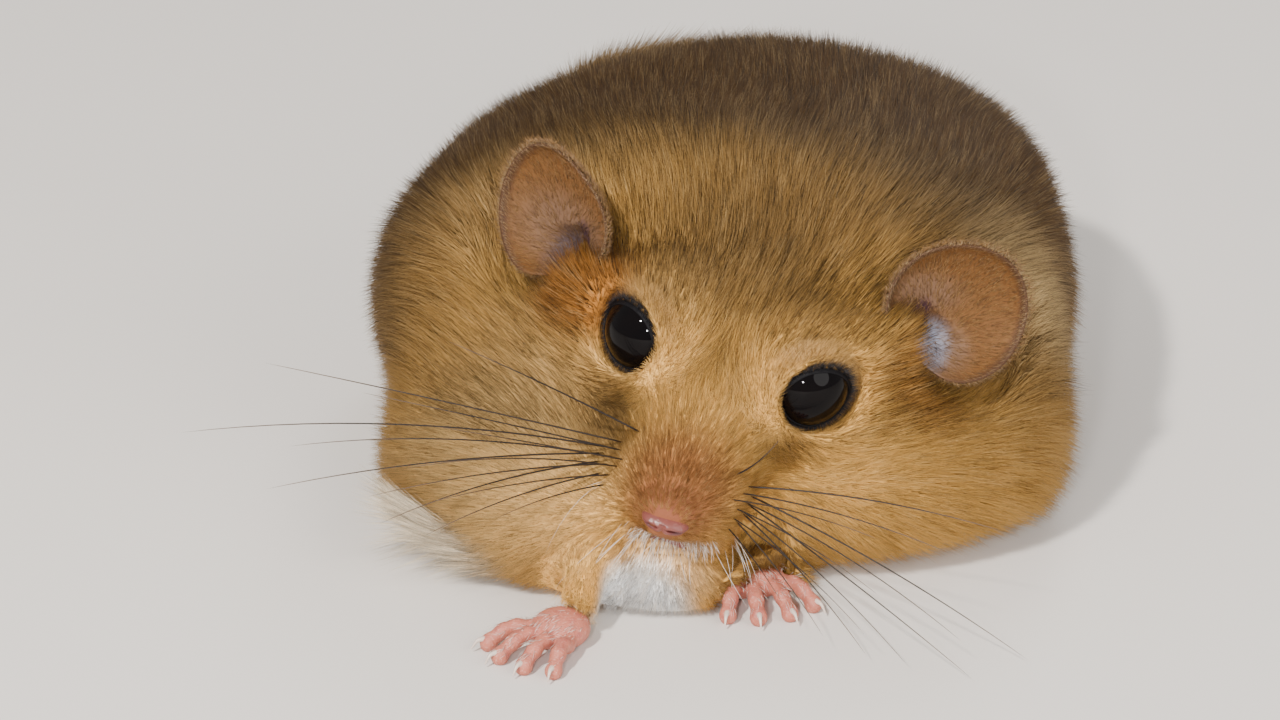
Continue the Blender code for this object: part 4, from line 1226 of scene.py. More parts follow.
def lid_hair(name, lids, home, material, rng):
    """Short fur on the lids, pointing away from the eye, dark at the rim."""

    def density(points, facing):
        return 420e6 * ease(1.03, 1.10, out_of_eye(points, home)[1])

    roots, _, uvs = scatter(lids, density, rng)
    count = len(roots)
    axis = np.array(home.to_3x3() @ Vector((0, -1, 0)))
    outward = roots - np.array(home.translation)
    outward = unit(outward - axis * (outward @ axis)[:, None])
    away = ease(1.06, 1.20, out_of_eye(roots, home)[1])
    length = rng.uniform(0.32, 0.62, count) * (1 + 0.9 * away) * MM
    rise = axis * rng.uniform(0.05, 0.40, count)[:, None]
    end = roots + (outward + rise + rng.normal(0, 0.16, (count, 3))) * length[:, None]
    width = 0.000018 + 0.000006 * away
    piece = strands(
        name,
        (roots - axis * 0.00005, (roots + end) / 2 + axis * 0.00004, end),
        np.cross(axis, outward),
        width,
        width * 0.7,
        roots,
        uvs,
        np.clip(away + rng.normal(0, 0.16, count), 0, 1),
        np.zeros(count),
        rings=1,
    )
    dressed(piece, material)


def lid_hair_material():
    """Grey-black at the lid's edge, running into the colour of the coat."""
    material, start, surface = new_material("lid hair")
    shade = (1 - eased(attribute(start, "along"), 0.0, 0.8)) * 0.55
    coat = coat_markings(attribute(start, "root", "Vector"))
    coat = mixed(coat, bpy.context.scene.dormouse_colours.crown, shade)
    finish_surface(surface, mixed(EYE_BLACK, coat, eased(attribute(start, "draw"), 0.15, 0.70)), 0.5)
    return material


# Nose, mouth and chin.

NOSE_CENTRE = Vector((0.0, -0.0104, -0.0044))
NOSE_SIZE = Vector((0.00145, 0.00115, 0.00064))
# A nostril's place across and up the pad, in shares of its half-sizes.
NOSTRIL_ASIDE = 0.52
NOSTRIL_UP = -0.12
NOSTRIL_DARK = (0.9, -11.3, -4.5)
NOSTRIL_DARK_SIZE = (0.42, 0.6, 0.26)
PAD_FLECK = (0.19, 0.052, 0.040)
# The mouth from its corner to the middle, and the two lips: drop and radius.
MOUTH_LINE = ((0.0026, -0.0074, -0.0074), (0.0015, -0.0090, -0.0073), (0.0, -0.0094, -0.0069))
MOUTH_STEPS = 24
MOUTH_SUNK = 0.0005
LIPS = ((0.0, 0.00017), (-0.00030, 0.00015))


def build_nose():
    """The nose pad, with comma-shaped nostrils and a groove down its middle."""
    pad = ball((0, 0, 0), (1, 1, 1), Matrix.Identity(4), segments=96)
    pad.name = "nose_pad"
    for vertex in pad.data.vertices:
        x, y, z = vertex.co
        aside = abs(x) - NOSTRIL_ASIDE
        reach = math.hypot(aside / 0.30, (z - NOSTRIL_UP + 0.25 * aside) / 0.19)
        pit = 0.42 * math.exp(-(reach**2.4)) * (y < 0)
        wing = 0.10 * math.exp(-(((abs(x) - 0.74) / 0.22) ** 2) - ((z + 0.05) / 0.5) ** 2)
        groove = 0.16 * math.exp(-((x / 0.10) ** 2)) * (y < 0) * (z < 0.45)
        vertex.co = vertex.co * (1 - pit - groove + wing)
    pad.data.transform(HEAD @ Matrix.Translation(NOSE_CENTRE) @ Matrix.Diagonal((*NOSE_SIZE, 1)))
    material = nose_material()
    dressed(pad, material, ["nose"])
    corners = [sided(point, -1) for point in MOUTH_LINE] + [sided(point, 1) for point in MOUTH_LINE[-2::-1]]
    lips = []
    for drop, radius in LIPS:
        centres = [place + Vector((0, MOUTH_SUNK, drop)) for place in smooth_path(corners, MOUTH_STEPS)]
        swell = [math.sin(math.pi * step / MOUTH_STEPS) for step in range(MOUTH_STEPS + 1)]
        lips.append(tube("lip", centres, [radius * (0.5 + 0.5 * each) for each in swell], HEAD))
    dressed(remeshed("lips", lips, 0.00009), material)


def nose_material():
    """Moist, finely pitted pink skin, darker round the nostrils."""
    settings = bpy.context.scene.dormouse_nose
    material, start, surface = new_material("nose skin")
    place = position(start)
    head = told_in(place, HEAD)
    cells = start.node("ShaderNodeTexVoronoi", None, {"Vector": place, "Scale": 1 / 0.00016}, "Distance")
    left, right = (spot(head, sided(NOSTRIL_DARK, side), NOSTRIL_DARK_SIZE, 0.5) for _, side in SIDES)
    colour = mixed(settings.pad, PAD_FLECK, grain(place, 0.0005) * 0.7)
    colour = mixed(colour, settings.nostril, left + right)
    skin = {"under": 0.15, "under_reach": (0.0008, 0.0004, 0.0003)}
    finish_surface(surface, colour, 0.34, cells, 0.35, 0.00004, **skin)
    return material


# Paws.

PALM_PAD = Vector((0.00062, 0.00058, 0.00046))
PALM_PAD_HEIGHT = 0.00050
DIGIT_STEPS = 14
CLAW_STEPS = 8
PAW_FLECK = (0.78, 0.50, 0.43)
CLAW_PALE = (0.72, 0.62, 0.54)


def build_paw(name, wrist, heading, paw, material, claw_skin):
    """A sole with jointed digits, pads and claws, flat on the floor."""
    place = laid((wrist[0], wrist[1], 0))
    home = Matrix.Translation(place) @ Matrix.Rotation(math.radians(heading), 4, "Z")
    radius = paw["radius"]
    sole = paw["sole"]
    heel = (0, -sole / 2, PAW_HEIGHT * 0.80)
    parts = [ball(heel, (paw["half_width"] * 0.95, sole * 0.62, PAW_HEIGHT * 0.92), home)]
    claws = []
    middle = (paw["digits"] - 1) / 2
    for digit in range(paw["digits"]):
        off = digit - middle
        angle = math.radians(off * paw["spread"])
        reach = paw["reach"] * (1 - 0.08 * off**2)
        root = Vector((off * paw["half_width"] * 0.52, -sole * 0.80, PAW_HEIGHT * 0.72))
        ahead = Vector((math.sin(angle), -math.cos(angle), 0))
        knuckle = root + ahead * reach * 0.5
        knuckle.z = KNUCKLE_LIFT + radius
        tip = root + ahead * reach
        tip.z = radius * 1.02
        centres = smooth_path((root, knuckle, tip), DIGIT_STEPS)
        sizes = [radius * (0.94 + 0.10 * math.cos(step * 1.35)) for step in range(DIGIT_STEPS + 1)]
        parts.append(tube("digit", centres, sizes, home))
        parts.append(ball(tip + Vector((0, 0, -0.0001)), (radius * 1.12,) * 3, home, 12))
        parts.append(ball(root + ahead * reach * 0.12, (radius * 1.15,) * 3, home, 12))
        claw_root = tip + ahead * radius * 0.5 + Vector((0, 0, radius * 0.45))
        claw_mid = tip + ahead * radius * 1.35 + Vector((0, 0, radius * 0.40))
        claw_tip = tip + ahead * radius * 2.1
        claw_tip.z = radius * 0.55
        claw_path = smooth_path((claw_root, claw_mid, claw_tip), CLAW_STEPS)
        claw_sizes = [radius * (0.36 - 0.036 * step) for step in range(CLAW_STEPS + 1)]
        claws.append(tube("claw", claw_path, claw_sizes, home, sides=10))
    for side in (-1, 0, 1):
        pad = (side * paw["half_width"] * 0.52, -sole * 0.72, PALM_PAD_HEIGHT)
        parts.append(ball(pad, PALM_PAD, home, 12))
    whole = remeshed(name, parts, PAW_GRID)
    points, _, _ = arrays_of(whole)
    points = smoothed(points, edges_of(whole), 3, np.full(len(points), 0.5))
    put_points(whole, points, 0.00001)
    node = name.replace("_skin", "")
    dressed(whole, material, [node])
    dressed(from_bmesh(node.replace("_", "_claws_"), joined(claws)), claw_skin)
    return whole


def paw_material():
    settings = bpy.context.scene.dormouse_paws
    material, start, surface = new_material("paw skin")
    place = position(start)
    fine = grain(stretched(place, (1, 2.2, 1)), 0.00016, 3.0)
    colour = mixed(settings.skin, settings.fold, eased(grain(place, 0.0007), 0.45, 0.72))
    colour = mixed(colour, PAW_FLECK, eased(fine, 0.5, 0.8) * 0.5)
    skin = {"under": 0.2, "under_reach": (0.0010, 0.0005, 0.0004)}
    finish_surface(surface, colour, 0.42 + fine * 0.2, fine, 0.7, 0.00007, **skin)
    return material


def claw_material():
    material, start, surface = new_material("claw horn")
    fine = grain(stretched(position(start), (3, 1, 3)), 0.0003)
    colour = mixed(bpy.context.scene.dormouse_paws.claw, CLAW_PALE, fine)
    finish_surface(surface, colour, 0.3, fine, 0.2, 0.00003)
    return material


def build_paws():
    """The forepaws, each with its own heading, and the hind feet, which mirror each other."""
    material, claw_skin = paw_material(), claw_material()
    hair = pale_hair_material("paw hair")
    rng = np.random.default_rng(bpy.context.scene.dormouse_coat.seed + 1)
    for name, side in SIDES:
        limb = FORELEGS[name]
        paws = (
            ("forepaw_skin_" + name, limb["wrist"], limb["heading"], FOREPAW),
            ("hindfoot_skin_" + name, sided(HEEL, side), side * HINDFOOT_HEADING, HINDFOOT),
        )
        built = [build_paw(*paw, material, claw_skin) for paw in paws]
        for paw, (_, _, heading, _) in zip(built, paws):
            paw_hair(paw, math.radians(heading), hair, rng)


def arched(roots, normals, lie, length, forward, rise):
    """(root, bend, end) of hairs that leave the skin and lie down over it."""
    half = (length * 0.5)[:, None]
    bend = roots + (lie * forward + normals * rise) * half
    return roots, bend, bend + (lie + normals * 0.05) * half


def paw_hair(paw, heading, material, rng):
    """Fine pale hairs on the upper side of a paw, lying towards the claws."""

    def density(points, facing):
        return ease(0.1, 0.6, facing[:, 2]) * 6e6 * ease(0.0006, 0.0012, points[:, 2])

    roots, normals, uvs = scatter(paw, density, rng)
    count = len(roots)
    ahead = np.array((math.sin(heading), -math.cos(heading), -0.2))
    lie = flattened(ahead + rng.normal(0, 0.25, (count, 3)), normals)
    curve = arched(roots, normals, lie, rng.uniform(0.0005, 0.0011, count), 0.8, 0.45)
    for place in curve[1:]:
        place[:, 2] = np.maximum(place[:, 2], FLOOR_CLEAR)
    width = np.full(count, 0.000017)
    name = paw.name.replace("_skin_", "_hair_")
    draw, kind = rng.random(count), np.zeros(count)
    piece = strands(name, curve, np.cross(normals, lie), width, width, roots, uvs, draw, kind)
    dressed(piece, material)


# Ears.

EAR_RINGS = 30
EAR_STEPS = 96
EAR_WARM = (0.175, 0.080, 0.026)
EAR_EDGE = (0.050, 0.024, 0.014)
DOWN_DARK = (0.070, 0.030, 0.010)
DOWN_LIGHT = (0.30, 0.160, 0.050)
FRINGE_TIP = (0.50, 0.36, 0.20)


def ear_point(side, share, turn, thickness):
    """(inner, outer) points of the ear at a share of its radius and a turn about its axis."""
    pit_turn = math.atan2(EAR_PIT[1], EAR_PIT[0])
    own_turn = turn if side > 0 else math.pi - turn
    notch = math.exp(-(((own_turn - pit_turn + math.pi) % (2 * math.pi) - math.pi) / 0.42) ** 2)
    radius = EAR_RADIUS * (1 + 0.025 * math.cos(2 * turn) - 0.13 * notch)
    x = radius * share * math.cos(turn)
    z = radius * share * math.sin(turn)
    bowl = EAR_BOWL * (1 - share**2.3)
    rim = 0.00030 * max(share - 0.88, 0) / 0.12
    curl = EAR_CURL * (x / EAR_RADIUS) ** 2
    pit_reach = math.hypot(x - EAR_PIT[0] * side, z - EAR_PIT[1]) / EAR_PIT_WIDTH
    pit = EAR_PIT_DEPTH * math.exp(-(pit_reach**2))
    ridge_at = z + 0.7 * (x * side + 0.0012)
    ridge = 0.00042 * math.exp(-((ridge_at / 0.00055) ** 2) - ((x * side + 0.0008) / 0.0018) ** 2)
    wave = 0.00010 * math.sin(3 * turn + 1) * share**3
    y = EAR_RIM_AT + bowl - rim + curl + pit - ridge + wave
    wall = thickness * (1.4 - 0.75 * share)
    return Vector((x, y, z)), Vector((x * (1 + 0.02 * share), y + wall, z * (1 + 0.02 * share)))


def build_ear(name, side, material):
    """One ear: an inner and an outer shell that meet in a rim, each with its own map."""
    thickness = bpy.context.scene.dormouse_ears.thickness
    shape = bmesh.new()
    layer = shape.loops.layers.uv.new(BAKE_MAP)
    place_on_map = {}
    shells = []
    for face, centre_u in ((0, 0.26), (1, 0.74)):
        middle = shape.verts.new(ear_point(side, 0.0, 0.0, thickness)[face])
        place_on_map[middle] = (centre_u, 0.5)
        rings = []
        for ring in range(1, EAR_RINGS + 1):
            share = ring / EAR_RINGS
            row = []
            for step in range(EAR_STEPS):
                turn = 2 * math.pi * step / EAR_STEPS
                vertex = shape.verts.new(ear_point(side, share, turn, thickness)[face])
                place_on_map[vertex] = (
                    centre_u + 0.22 * share * math.cos(turn),
                    0.5 + 0.22 * share * math.sin(turn),
                )
                row.append(vertex)
            rings.append(row)
        shells.append(rings)
        for step in range(EAR_STEPS):
            after = (step + 1) % EAR_STEPS
            shape.faces.new((middle, rings[0][step], rings[0][after]))
            for inner, outer in zip(rings, rings[1:]):
                shape.faces.new((inner[step], outer[step], outer[after], inner[after]))
    rim_in, rim_out = shells[0][-1], shells[1][-1]
    for step in range(EAR_STEPS):
        after = (step + 1) % EAR_STEPS
        shape.faces.new((rim_in[step], rim_out[step], rim_out[after], rim_in[after]))
    for face in shape.faces:
        for loop in face.loops:
            loop[layer].uv = place_on_map[loop.vert]
    shape.transform(ear_frame(name, side))
    ear = from_bmesh("ear_skin_" + name, shape)
    return dressed(ear, material, ["ear_" + name])


def ear_material(name, side):
    """Warm thin skin, greyer with a painted sheen, darker with painted shade in the fold beside the opening,
    and the opening painted lit and pale on the left and in dark shade on the right.
    """
    settings = bpy.context.scene.dormouse_ears
    material, start, surface = new_material("ear skin " + name)
    place = position(start)
    local = told_in(place, ear_frame(name, side))
    fine = grain(place, 0.00022, 3.0)
    veins = grain(stretched(place, (1, 1, 2)), 0.0011, 3.0)
    colour = mixed(settings.skin, EAR_WARM, eased(veins, 0.35, 0.7) * 0.5)
    # Painted sheen: greyer patches on the inner face, two on the left ear and a broad one on the right.
    if side > 0:
        colour = mixed(colour, settings.sheen, spot(local, (-1.9, 1.0, 0.7), (2.2, 3.0, 1.2), 0.6) * 0.50)
        colour = mixed(colour, settings.sheen, spot(local, (-0.5, 1.4, -2.6), (1.9, 3.0, 1.7), 0.5) * 0.60)
        inside = settings.pit
    else:
        colour = mixed(colour, settings.sheen, spot(local, (0.6, 1.0, -1.0), (3.4, 3.0, 2.0), 0.6) * 0.55)
        inside = settings.painted_opening_shade
    # The opening is painted lit and pale on the left ear and in dark shade on the right.
    colour = mixed(colour, inside, spot(local, (-0.8 * side, 1.4, -2.4), (1.0, 3.0, 1.25), 0.60) * 0.92)
    # Painted shade in the fold beside the opening.
    colour = mixed(colour, settings.notch, spot(local, (-1.75 * side, 1.4, -1.1), (0.55, 3.0, 1.35)) * 0.9)
    edge = eased(length_of(stretched(local, (1, 0, 1))), 3.90, 4.30)
    colour = mixed(colour, EAR_EDGE, edge * 0.85)
    skin = {"specular": 0.16, "under": 0.10, "under_reach": (0.0012, 0.0006, 0.0004)}
    finish_surface(surface, colour, 0.55 + fine * 0.15, fine, 0.4, 0.00005, **skin)
    return material


def ear_hair(name, side, ear, material, rng):
    """Short fur on the ear's back, a fringe on its rim and a fine down inside."""
    home = ear_frame(name, side)
    turn = np.array(home.to_3x3())

    def density(points, facing):
        local = in_frame(points, home)
        flat = np.hypot(local[:, 0], local[:, 2]) / EAR_RADIUS
        front = (facing @ turn)[:, 1] < 0
        return np.where(front, 44e6 + 30e6 * ease(0.90, 1.00, flat), 62e6)

    roots, normals, uvs = scatter(ear, density, rng)
    count = len(roots)
    local = in_frame(roots, home)
    flat = np.hypot(local[:, 0], local[:, 2]) / EAR_RADIUS
    fan = [local[:, 0] + 0.0010 * side, np.zeros(count), local[:, 2] + 0.0022]
    outward = unit(np.stack(fan, 1)) @ turn.T
    front = (normals @ turn)[:, 1] < 0
    lie = outward + rng.normal(0, 0.22, (count, 3))
    lie = flattened(lie, normals, 0.9)
    inner = rng.uniform(0.00040, 0.00080, count) * (1 - 0.45 * ease(0.85, 1.0, flat))
    length = np.where(front, inner, rng.uniform(0.0006, 0.0011, count))
    rise = np.where(front, 0.24, 0.28)[:, None]
    curve = arched(roots, normals, lie, length, 0.9, rise)
    width = np.where(front, 0.000020, 0.000030)
    draw, kind = rng.random(count), np.where(front, ease(0.88, 0.99, flat), 0.0)
    across = np.cross(normals, lie)
    piece = strands(
        "ear_hair_" + name, curve, across, width, width * 0.7, roots, uvs, draw, kind, rings=1
    )
    dressed(piece, material)


def ear_hair_material():
    material, start, surface = new_material("ear hair")
    along, draw, kind = (attribute(start, name) for name in ("along", "draw", "kind"))
    colour = mixed(DOWN_DARK, DOWN_LIGHT, draw)
    colour = mixed(colour, FRINGE_TIP, kind * eased(along, 0.1, 0.8) * 0.8)
    finish_surface(surface, colour, 0.5)
    return material


def build_ears():
    hair = ear_hair_material()
    rng = np.random.default_rng(bpy.context.scene.dormouse_coat.seed + 2)
    for name, side in SIDES:
        ear = build_ear(name, side, ear_material(name, side))
        ear_hair(name, side, ear, hair, rng)


# Whiskers and the pale hairs of lip and chin.

PALE_ROOT = (0.55, 0.44, 0.36)
WHISKER_TIP = (0.16, 0.105, 0.065)


def pale_hair_material(name):
    material, start, surface = new_material(name)
    share = eased(attribute(start, "along"), 0.0, 0.4) * 0.6 + attribute(start, "draw") * 0.4
    finish_surface(surface, mixed(PALE_ROOT, bpy.context.scene.dormouse_whiskers.pale, share), 0.38)
    return material


def whisker_material():
    material, start, surface = new_material("whiskers")
    share = eased(attribute(start, "along"), 0.55, 1.0) * 0.7 + attribute(start, "draw") * 0.1
    colour = mixed(bpy.context.scene.dormouse_whiskers.dark, WHISKER_TIP, share)
    finish_surface(surface, colour, 0.42, specular=0.25)
    return material


# Whisker rows of each side: where the row roots on the head, how it leaves it, its length
# and how far its tip sags, in millimetres. The first row is a single whisker.
WHISKER_ROWS = {
    "right": (
        ((-3.6, -6.0, -2.2), (-1.00, -0.10, 0.62), 13.0, 0.6),
        ((-4.6, -6.0, -3.2), (-1.00, -0.25, 0.42), 24.5, 0.6),
        ((-4.9, -6.2, -3.8), (-1.00, -0.32, 0.34), 28.0, 3.2),
        ((-5.1, -6.4, -4.4), (-1.00, -0.40, 0.17), 21.0, 1.8),
        ((-5.1, -6.8, -5.0), (-1.00, -0.45, 0.05), 15.0, 1.8),
    ),
    "left": (
        ((3.4, -6.8, -2.2), (0.75, -0.35, 0.55), 3.4, -0.8),
        ((4.2, -6.4, -3.2), (1.00, -0.30, 0.02), 17.0, 1.8),
        ((4.6, -6.4, -3.9), (1.00, -0.50, -0.28), 19.0, 2.4),
        ((4.6, -6.6, -4.5), (1.00, -0.75, -0.42), 19.0, 2.6),
        ((4.4, -7.0, -5.0), (0.80, -0.85, -0.55), 12.0, 1.6),
    ),
}
WHISKERS_IN_ROW = 3


def rooted(tree, skin, place):
    """(place, normal, bake-map place) on the skin nearest to a point."""
    found, normal, face, _ = tree.find_nearest(place)
    loops = skin.data.polygons[face].loop_indices
    uvs = [skin.data.uv_layers[BAKE_MAP].data[loop].uv for loop in loops]
    return found, normal, sum(uvs, Vector((0, 0))) / len(uvs)


def build_whiskers(skin):
    """Whiskers in short rows on the muzzle, and the pale hairs round the mouth."""
    settings = bpy.context.scene.dormouse_whiskers
    rng = np.random.default_rng(settings.seed)
    points = [vertex.co for vertex in skin.data.vertices]
    tree = BVHTree.FromPolygons(points, [tuple(face.vertices) for face in skin.data.polygons])
    material = whisker_material()
    for name, rows in WHISKER_ROWS.items():
        side = 1 if name == "left" else -1
        curves = []
        for row, (root, heading, length, sag) in enumerate(rows):
            for step in range(WHISKERS_IN_ROW if row else 1):
                shrink = 1 - 0.22 * step + rng.uniform(-0.06, 0.06)
                spot_at = Vector(root) + Vector((-0.35 * side * step, -0.75 * step, -0.10 * step))
                place, _, uv = rooted(tree, skin, HEAD @ (spot_at * MM))
                fan = Vector(rng.normal(0, 0.055, 3)) + Vector((0, -0.14 * step, 0.05 * step))
                ahead = (Vector(heading) + fan).normalized()
                reach = length * MM * shrink
                end = place + ahead * reach + Vector((0, 0.05 * reach, -sag * MM * shrink))
                bend = place + ahead * reach * 0.5 + Vector((0, 0, sag * MM * shrink * 0.28))
                end.z = max(end.z, 0.0004)
                curves.append((place - ahead * 0.0003, bend, end, uv, settings.radius * (0.6 + 0.4 * shrink)))
        piece = long_hairs("whiskers_" + name, curves, (0.0, 0.3, 1.0), rng, rings=14, sides=6)
        dressed(piece, material, ["whisker_pad_" + name])
    pale_hairs(tree, skin, rng)


def long_hairs(name, curves, across, rng, rings, sides):
    """One piece of hairs, from (start, bend, end, bake-map place, width) for each."""
    start, bend, end, uvs, width = (np.array(column) for column in zip(*curves))
    count = len(curves)
    across = np.tile(across, (count, 1))
    draw, kind = rng.random(count), np.zeros(count)
    return strands(name, (start, bend, end), across, width, width, start, uvs, draw, kind, rings, sides)


# A dense short fringe on the lips, and longer hairs under them: the middle of the row in the
# head's frame, half its width, how far its ends lie back, how far the roots stray up or down,
# the heading at its end, and the lengths and radii, all in millimetres.
LIP_ROW = {
    "hairs": 130,
    "middle": (0.5, -10.4, -6.5),
    "half_width": 2.6,
    "back": 1.4,
    "stray": (-0.9, 0.7),
    "heading": (0.65, -0.50, -0.70),
    "unruliness": 0.38,
    "length": (0.3, 1.3),
    "radius": (0.007, 0.012),
}
CHIN_ROW = {
    "hairs": 40,
    "middle": (0.0, -8.6, -6.9),
    "half_width": 4.4,
    "back": 2.2,
    "stray": (-0.6, 0.5),
    "heading": (0.90, -0.55, -0.70),
    "unruliness": 0.20,
    "length": (2.2, 5.6),
    "radius": (0.011, 0.016),
}
PALE_HAIR_FLOOR = 0.0003


def pale_hairs(tree, skin, rng):
    """The hairs round the mouth, curved down towards their tips."""
    turn = HEAD.to_3x3()
    curves = []
    for row in [LIP_ROW] * LIP_ROW["hairs"] + [CHIN_ROW] * CHIN_ROW["hairs"]:
        swing = rng.uniform(-1, 1)
        aside = Vector((swing * row["half_width"], abs(swing) * row["back"], rng.uniform(*row["stray"])))
        ahead = Vector((swing * row["heading"][0], *row["heading"][1:]))
        reach = rng.uniform(*row["length"]) * MM
        width = rng.uniform(*row["radius"]) * MM
        place, normal, uv = rooted(tree, skin, HEAD @ ((Vector(row["middle"]) + aside) * MM))
        ahead = (turn @ (ahead + Vector(rng.normal(0, row["unruliness"], 3)))).normalized()
        bend = place + (ahead + normal * 0.3) * reach * 0.5
        end = place + ahead * reach * 0.86 + Vector((0, reach * 0.12, -reach * 0.42))
        end.z = max(end.z, PALE_HAIR_FLOOR)
        bend.z = max(bend.z, PALE_HAIR_FLOOR)
        curves.append((place, bend, end, uv, width))
    piece = long_hairs("lip_hair", curves, (1.0, 0.2, 0.1), rng, rings=6, sides=4)
    dressed(piece, pale_hair_material("lip hair"))


# Stage: floor, lights and camera.

CAMERA_ELEVATION = math.radians(24)
CAMERA_DISTANCE = 0.300
LENS = 139.2
IMAGE_WIDTH = 1280
IMAGE_HEIGHT = 720
EYES_IN_IMAGE = (725, 363)
FLOOR_HALF = 1.5
# Lights: place, width of the disc, the setting that drives it and its share of that, colour.
LIGHTS = {
    "key": ((-0.18, -0.34, 0.37), 0.030, "key", 1.0, (1.0, 0.955, 0.90)),
    "glint": ((-0.03, -0.33, 0.14), 0.022, "key", 0.16, (1.0, 1.0, 1.0)),
    "fill": ((0.30, -0.30, 0.22), 0.34, "fill", 1.0, (1.0, 0.97, 0.94)),
    "back": ((0.10, 0.35, 0.30), 0.16, "fill", 0.45, (1.0, 0.97, 0.93)),
}
SKY = (1.0, 0.985, 0.965, 1)


def build_stage():
    """A plain pale floor, the lights round the animal, and the photograph's point of view."""
    settings = bpy.context.scene.dormouse_stage
    shape = bmesh.new()
    bmesh.ops.create_grid(shape, x_segments=8, y_segments=8, size=FLOOR_HALF)
    floor = from_bmesh("floor", shape)
    material, start, surface = new_material("floor")
    pale = tuple(settings.floor)
    colour = mixed(pale, [channel * 0.97 for channel in pale], grain(position(start), 0.02))
    finish_surface(surface, colour, 0.65)
    floor.data.materials.append(material)
    world = bpy.data.worlds.new("surroundings")
    world.use_nodes = True
    background = world.node_tree.nodes["Background"]
    background.inputs["Color"].default_value = SKY
    background.inputs["Strength"].default_value = settings.sky
    bpy.context.scene.world = world
    for name, (place, size, setting, share, colour) in LIGHTS.items():
        add_light(name, place, size, getattr(settings, setting) * share, colour)
    add_camera()


def add_light(name, place, size, power, colour):
    """A disc of soft light that faces the animal's head."""
    light = bpy.data.lights.new(name, "AREA")
    light.shape = "DISK"
    light.size = size
    light.energy = power
    light.color = colour
    lamp = bpy.data.objects.new(name, light)
    lamp.location = place
    aim = HEAD.translation - Vector(place)
    lamp.rotation_euler = aim.to_track_quat("-Z", "Y").to_euler()
    bpy.context.scene.collection.objects.link(lamp)


def add_camera():
    """The photograph's point of view, with the eyes where they are in its frame."""
    camera = bpy.data.objects.new("camera", bpy.data.cameras.new("camera"))
    camera.data.sensor_width = 36
    camera.data.lens = LENS
    camera.data.clip_start = 0.01
    camera.data.shift_x = -(EYES_IN_IMAGE[0] - IMAGE_WIDTH / 2) / IMAGE_WIDTH
    camera.data.shift_y = (EYES_IN_IMAGE[1] - IMAGE_HEIGHT / 2) / IMAGE_WIDTH
    ahead = Vector((0, math.cos(CAMERA_ELEVATION), -math.sin(CAMERA_ELEVATION)))
    camera.location = HEAD.translation - ahead * CAMERA_DISTANCE
    camera.rotation_euler = ahead.to_track_quat("-Z", "Y").to_euler()
    bpy.context.scene.collection.objects.link(camera)
    bpy.context.scene.camera = camera


# Operators, one for each piece or group of like pieces.


class DORMOUSE_OT_skin(Operator):
    """Builds the skin that stands for the flesh of head, neck, trunk, legs and tail"""

    bl_idname = "dormouse.skin"
    bl_label = "Skin"

    def execute(self, context):
        build_skin()
        return {"FINISHED"}


def the_skin():
    skin = bpy.data.objects.get("skin")
    if skin is None:
        raise RuntimeError("build the skin first")
    return skin


class DORMOUSE_OT_coat(Operator):
    """Grows the coat on the skin, in tufts that follow its lie"""

    bl_idname = "dormouse.coat"
    bl_label = "Coat"

    def execute(self, context):
        if not build_coat(the_skin()):
            raise RuntimeError("no tuft took root")
        return {"FINISHED"}


class DORMOUSE_OT_ears(Operator):
    """Builds the ears with their fringe"""

    bl_idname = "dormouse.ears"
    bl_label = "Ears"

    def execute(self, context):
        build_ears()
        return {"FINISHED"}


class DORMOUSE_OT_eyes(Operator):
    """Builds the eyeballs and lids"""

    bl_idname = "dormouse.eyes"
    bl_label = "Eyes"

    def execute(self, context):
        build_eyes()
        return {"FINISHED"}


class DORMOUSE_OT_nose(Operator):
    """Builds the nose pad and lips"""

    bl_idname = "dormouse.nose"
    bl_label = "Nose and mouth"

    def execute(self, context):
        build_nose()
        return {"FINISHED"}


class DORMOUSE_OT_paws(Operator):
    """Builds the four paws with their claws and fine hair"""

    bl_idname = "dormouse.paws"
    bl_label = "Paws"

    def execute(self, context):
        build_paws()
        return {"FINISHED"}


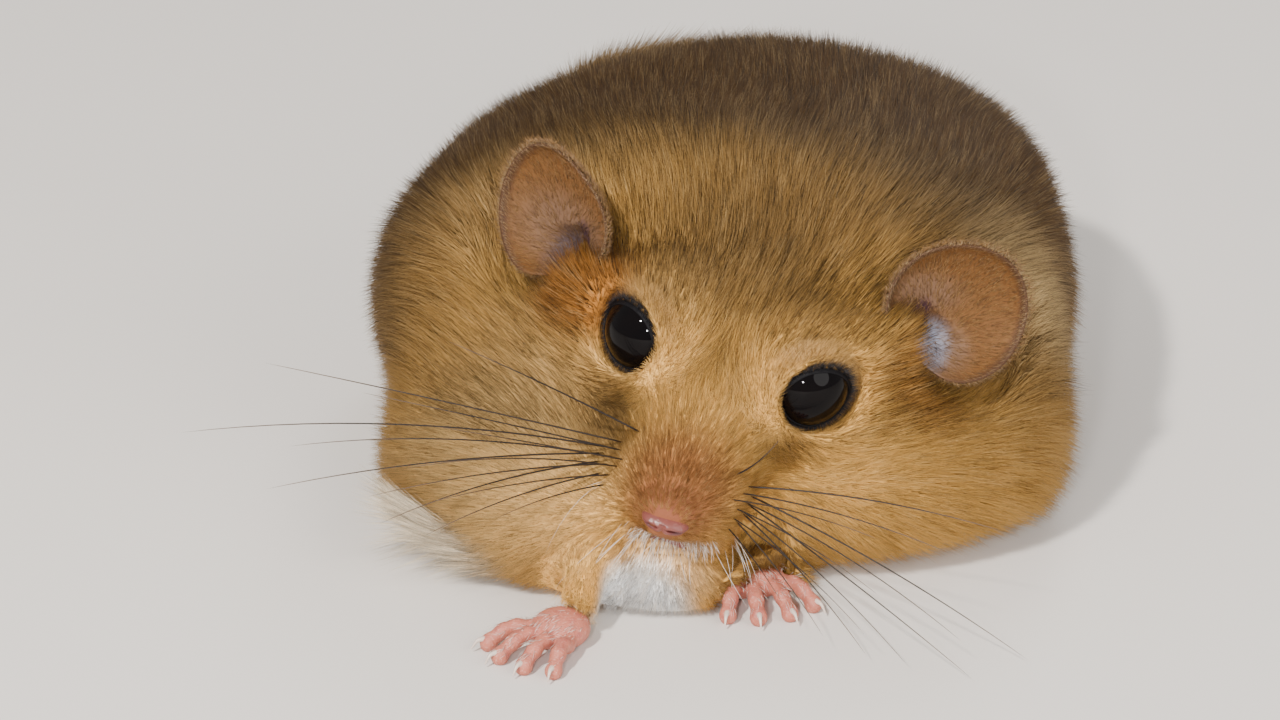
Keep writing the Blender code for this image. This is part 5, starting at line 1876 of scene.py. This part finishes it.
class DORMOUSE_OT_whiskers(Operator):
    """Sets the whiskers and the pale hairs round the mouth on the skin"""

    bl_idname = "dormouse.whiskers"
    bl_label = "Whiskers"

    def execute(self, context):
        build_whiskers(the_skin())
        return {"FINISHED"}


class DORMOUSE_OT_stage(Operator):
    """Lays the floor and sets the lights and the camera"""

    bl_idname = "dormouse.stage"
    bl_label = "Stage"

    def execute(self, context):
        build_stage()
        return {"FINISHED"}


class DORMOUSE_PT_panel(Panel):
    """Lists the steps and their settings"""

    bl_idname = "DORMOUSE_PT_panel"
    bl_label = "Dormouse"
    bl_space_type = "VIEW_3D"
    bl_region_type = "UI"
    bl_category = "Dormouse"

    def draw(self, context):
        for operator, group in STEPS:
            self.layout.operator(operator.bl_idname)
            if group:
                settings = getattr(context.scene, group)
                for key in settings.bl_rna.properties.keys():
                    if key not in ("rna_type", "name"):
                        self.layout.prop(settings, key)


SETTINGS = {
    "dormouse_coat": CoatSettings,
    "dormouse_colours": CoatColours,
    "dormouse_ears": EarSettings,
    "dormouse_eyes": EyeSettings,
    "dormouse_nose": NoseSettings,
    "dormouse_paws": PawSettings,
    "dormouse_whiskers": WhiskerSettings,
    "dormouse_stage": StageSettings,
}
STEPS = (
    (DORMOUSE_OT_skin, "dormouse_colours"),
    (DORMOUSE_OT_coat, "dormouse_coat"),
    (DORMOUSE_OT_ears, "dormouse_ears"),
    (DORMOUSE_OT_eyes, "dormouse_eyes"),
    (DORMOUSE_OT_nose, "dormouse_nose"),
    (DORMOUSE_OT_paws, "dormouse_paws"),
    (DORMOUSE_OT_whiskers, "dormouse_whiskers"),
    (DORMOUSE_OT_stage, "dormouse_stage"),
)
CLASSES = tuple(SETTINGS.values()) + tuple(step[0] for step in STEPS) + (DORMOUSE_PT_panel,)


def register():
    for each in CLASSES:
        bpy.utils.register_class(each)
    for name, group in SETTINGS.items():
        setattr(bpy.types.Scene, name, PointerProperty(type=group))


def unregister():
    for name in SETTINGS:
        delattr(bpy.types.Scene, name)
    for each in reversed(CLASSES):
        bpy.utils.unregister_class(each)


def main():
    register()
    for operator, _ in STEPS:
        group, name = operator.bl_idname.split(".")
        getattr(getattr(bpy.ops, group), name)()


if __name__ == "__main__":
    main()
